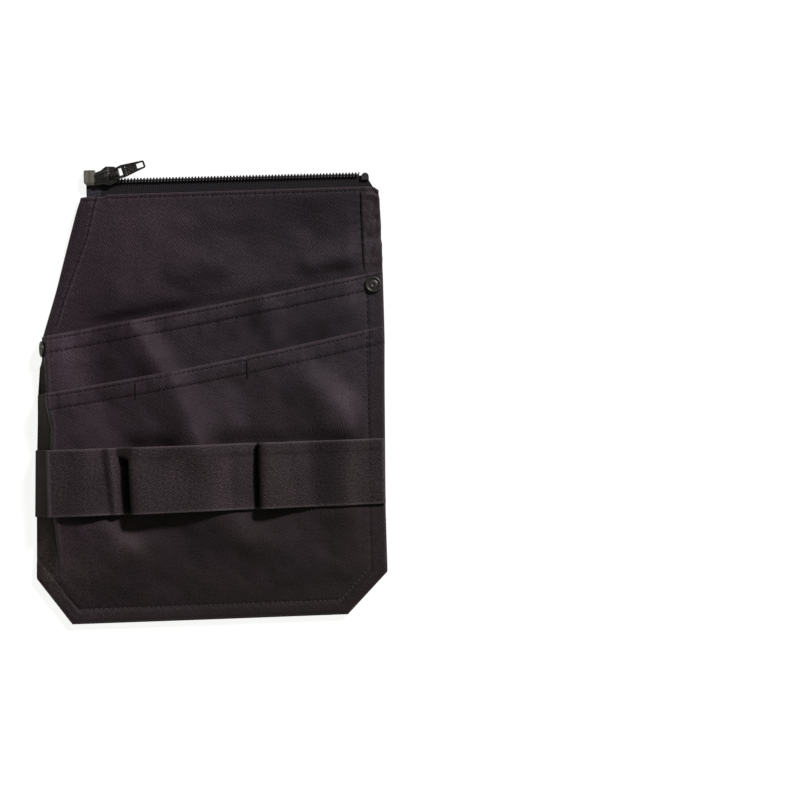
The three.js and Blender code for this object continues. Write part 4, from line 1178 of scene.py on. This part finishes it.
def make_light(name, azimuth, elevation, strength, angle, tint):
    """A sun from an azimuth, counted from the right towards the top of the picture."""
    data = bpy.data.lights.new(name, "SUN")
    data.energy = strength
    data.angle = math.radians(angle)
    data.color = tint
    light = put_in_scene(name, data)
    light.rotation_euler = (0, math.radians(90 - elevation), math.radians(azimuth))


def make_world():
    """Even, slightly warm fill from all round."""
    world = bpy.data.worlds.new("studio")
    world.use_nodes = True
    back = world.node_tree.nodes["Background"]
    back.inputs["Color"].default_value = colour(1.0, 0.97, 0.88)
    back.inputs["Strength"].default_value = 0.3
    bpy.context.scene.world = world
    bpy.context.scene.view_settings.view_transform = "Standard"


def dress(node):
    """Hides the CAD node that a new piece stands in for."""
    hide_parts(node)


def make_pocket(node, ends, wall, height, tones, finish, side_finish):
    """A pocket's cloth, with another finish, painted shade, on its side wall."""
    grid = pocket_grid(ends, wall, height)
    piece = cloth_sheet(node + "_cloth", grid, finish, pocket_rub_and_highlight(grid, wall), tones,
                        behind=pocket_depth(grid, ends, wall), side=(side_finish, side_points(grid, wall)))
    dress(node)
    return piece


def sew(name, rows, radius, finish):
    """One piece of all the threads in some rows."""
    threads = make_object(name, *thread_mesh(np.concatenate(rows), radius), finish)


def carry_over(node, finish, bevel):
    """A CAD node kept as it is, with its edges softened and a material."""
    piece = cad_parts[node]
    piece.data.materials.clear()
    piece.data.materials.append(finish)
    weld = piece.modifiers.new("weld", "WELD")
    weld.merge_threshold = 0.00002
    soften(piece, bevel)


def soften(piece, bevel):
    """Rounds a hard piece's edges."""
    soft = piece.modifiers.new("soft_edges", "BEVEL")
    soft.width = bevel * MM
    soft.segments = 2
    soft.limit_method = "ANGLE"
    soft.angle_limit = math.radians(30)
    soft.use_clamp_overlap = True


make_camera()
make_floor()
make_light("key", azimuth=48, elevation=40, strength=5.6, angle=8, tint=(1.0, 0.965, 1.0))
make_world()

# Finishes
twill_front = twill("twill_front", 60, dark=(0.0072, 0.0058, 0.0042), light=(0.0118, 0.0076, 0.0104),
                    pale_wear_and_highlight=(0.024, 0.018, 0.020), grey=(0.0094, 0.0086, 0.0094))
twill_strip = twill("twill_strip", 150, dark=(0.0108, 0.0086, 0.0074), light=(0.0150, 0.0110, 0.0124),
                    pale_wear_and_highlight=(0.040, 0.032, 0.034), grain=1.6)
# The side walls' finish is painted shade: a browner, duller copy of the twill for cloth turned away from the
# light.
twill_side_painted_shade = twill("twill_side_painted_shade", 60, dark=(0.0148, 0.0124, 0.0090), light=(0.0162, 0.0130, 0.0104),
                   pale_wear_and_highlight=(0.024, 0.019, 0.016), low=(0.0160, 0.0126, 0.0118), gloss=0.02)
thread_dark = spun("thread_dark", (0.0012, 0.0010, 0.0011), (0.0030, 0.0026, 0.0028), 0.85, 0.08)
thread_tack = spun("thread_tack", (0.0026, 0.0022, 0.0024), (0.0060, 0.0050, 0.0054), 0.8, 0.1)
thread_light = spun("thread_light", (0.020, 0.017, 0.018), (0.036, 0.031, 0.034), 0.7, 0.15)
thread_pale = spun("thread_pale", (0.048, 0.043, 0.048), (0.100, 0.091, 0.100), 0.6, 0.3)
nylon = spun("nylon", (0.007, 0.0064, 0.007), (0.017, 0.0152, 0.017), 0.42, 0.35)
tape_finish = tape_weave("tape_weave")
box_finish = box_paint("box_paint")
black_metal = satin_metal("black_metal", (0.004, 0.004, 0.0038), (0.012, 0.0118, 0.0112), 0.2, 0.3)
antique = satin_metal("antique_metal", (0.010, 0.009, 0.008), (0.029, 0.026, 0.023), 0.5, 0.42)

# Back panel, and the facing behind the zip's tape
panel = panel_grid()
panel_extra = panel_layers(panel[..., 0], panel[..., 1])[1]
in_band = right_edge(panel[..., 1]) - panel[..., 0] < SIDE_HEM
back_panel = cloth_sheet("back_panel_cloth", panel, twill_front, np.maximum(panel_rub_and_highlight(panel), 0.5 * in_band),
                         PANEL_LIGHT_AND_WEAR, behind=HALF_CLOTH + panel_extra, turned=in_band)
dress("back_panel")

facing = facing_grid()
top_facing = cloth_sheet("top_facing_cloth", facing, twill_front, edge_rub_and_highlight(facing))
dress("back_panel")

# Pockets and loop strip
upper_pocket = make_pocket("upper_pocket", UPPER_ENDS, UPPER_WALL, upper_height, UPPER_LIGHT_AND_WEAR,
                           twill_front, twill_side_painted_shade)
lower_pocket = make_pocket("lower_pocket", LOWER_ENDS, LOWER_WALL, lower_height, LOWER_LIGHT_AND_WEAR,
                           twill_front, twill_side_painted_shade)

strip = strip_grid()
loop_strip = cloth_sheet("loop_strip_cloth", strip, twill_strip, strip_rub_and_highlight(strip), STRIP_LIGHT_AND_WEAR,
                         side=(twill_side_painted_shade, strip[..., 0] < LOOPS[0][0] - 0.2))
dress("tool_loop_strip")

# Threads
dark_rows = [stitch_row(path) for path in sewn_paths()]
sew("stitches", dark_rows, STITCH["radius"], thread_dark)
light_rows = [stitch_row(path) for path in (left_hem_path(), bottom_path())]
sew("hem_stitches", light_rows, STITCH["radius"], thread_light)
sew("bar_tacks", [bar_tack(*place) for place in BAR_TACKS], TACK_RADIUS, thread_tack)

# Half zip
tape = tape_grid()
zip_tape = cloth_sheet("zip_tape_band", tape, tape_finish, edge_rub_and_highlight(tape), half=TAPE_HALF)
dress("zip_tape")

zip_coil = make_object("zip_coil_wire", *tube(coil_path(), COIL["wire"], 7, (1, 0, 0)), nylon)
dress("zip_teeth")
zip_core = make_object("zip_coil_core", *tube(core_path(), COIL["core"], 8, (0, 0, 1)), nylon)
dress("zip_teeth")
coil_dots = make_object("zip_coil_threads", *thread_mesh(coil_threads(), COIL_THREAD["radius"]), thread_pale)
dress("zip_teeth")

carry_over("zip_box", box_finish, 0.35)
carry_over("zip_top_stop", nylon, 0.4)
carry_over("zip_slider", black_metal, 0.25)
carry_over("zip_pull", black_metal, 0.2)
crown_mesh = relief_block(slider_crown(), SLIDER["top"] - CROWN["sink"])
crown = make_object("slider_crown", *crown_mesh, black_metal, body="slider", smooth_faces=False)
soften(crown, 0.12)
face = make_object("pull_face", *relief_block(pull_face(), PULL_PLATE["low"]), black_metal, body="pull")

# Rivets
wall_run = read_off(UPPER_WALL, "run", RIVET_LEFT_Y)
left_x = read_off(UPPER_WALL, "left", RIVET_LEFT_Y) + RIVET_LEFT_SHARE * wall_run
for side, spot in (("right", RIVET_RIGHT), ("left", (left_x, RIVET_LEFT_Y))):
    rivet = make_object("rivet_cap_" + side, *lathe(rivet_profile(), 40, *rivet_frame(*spot)), antique)
    dress("rivet_" + side)
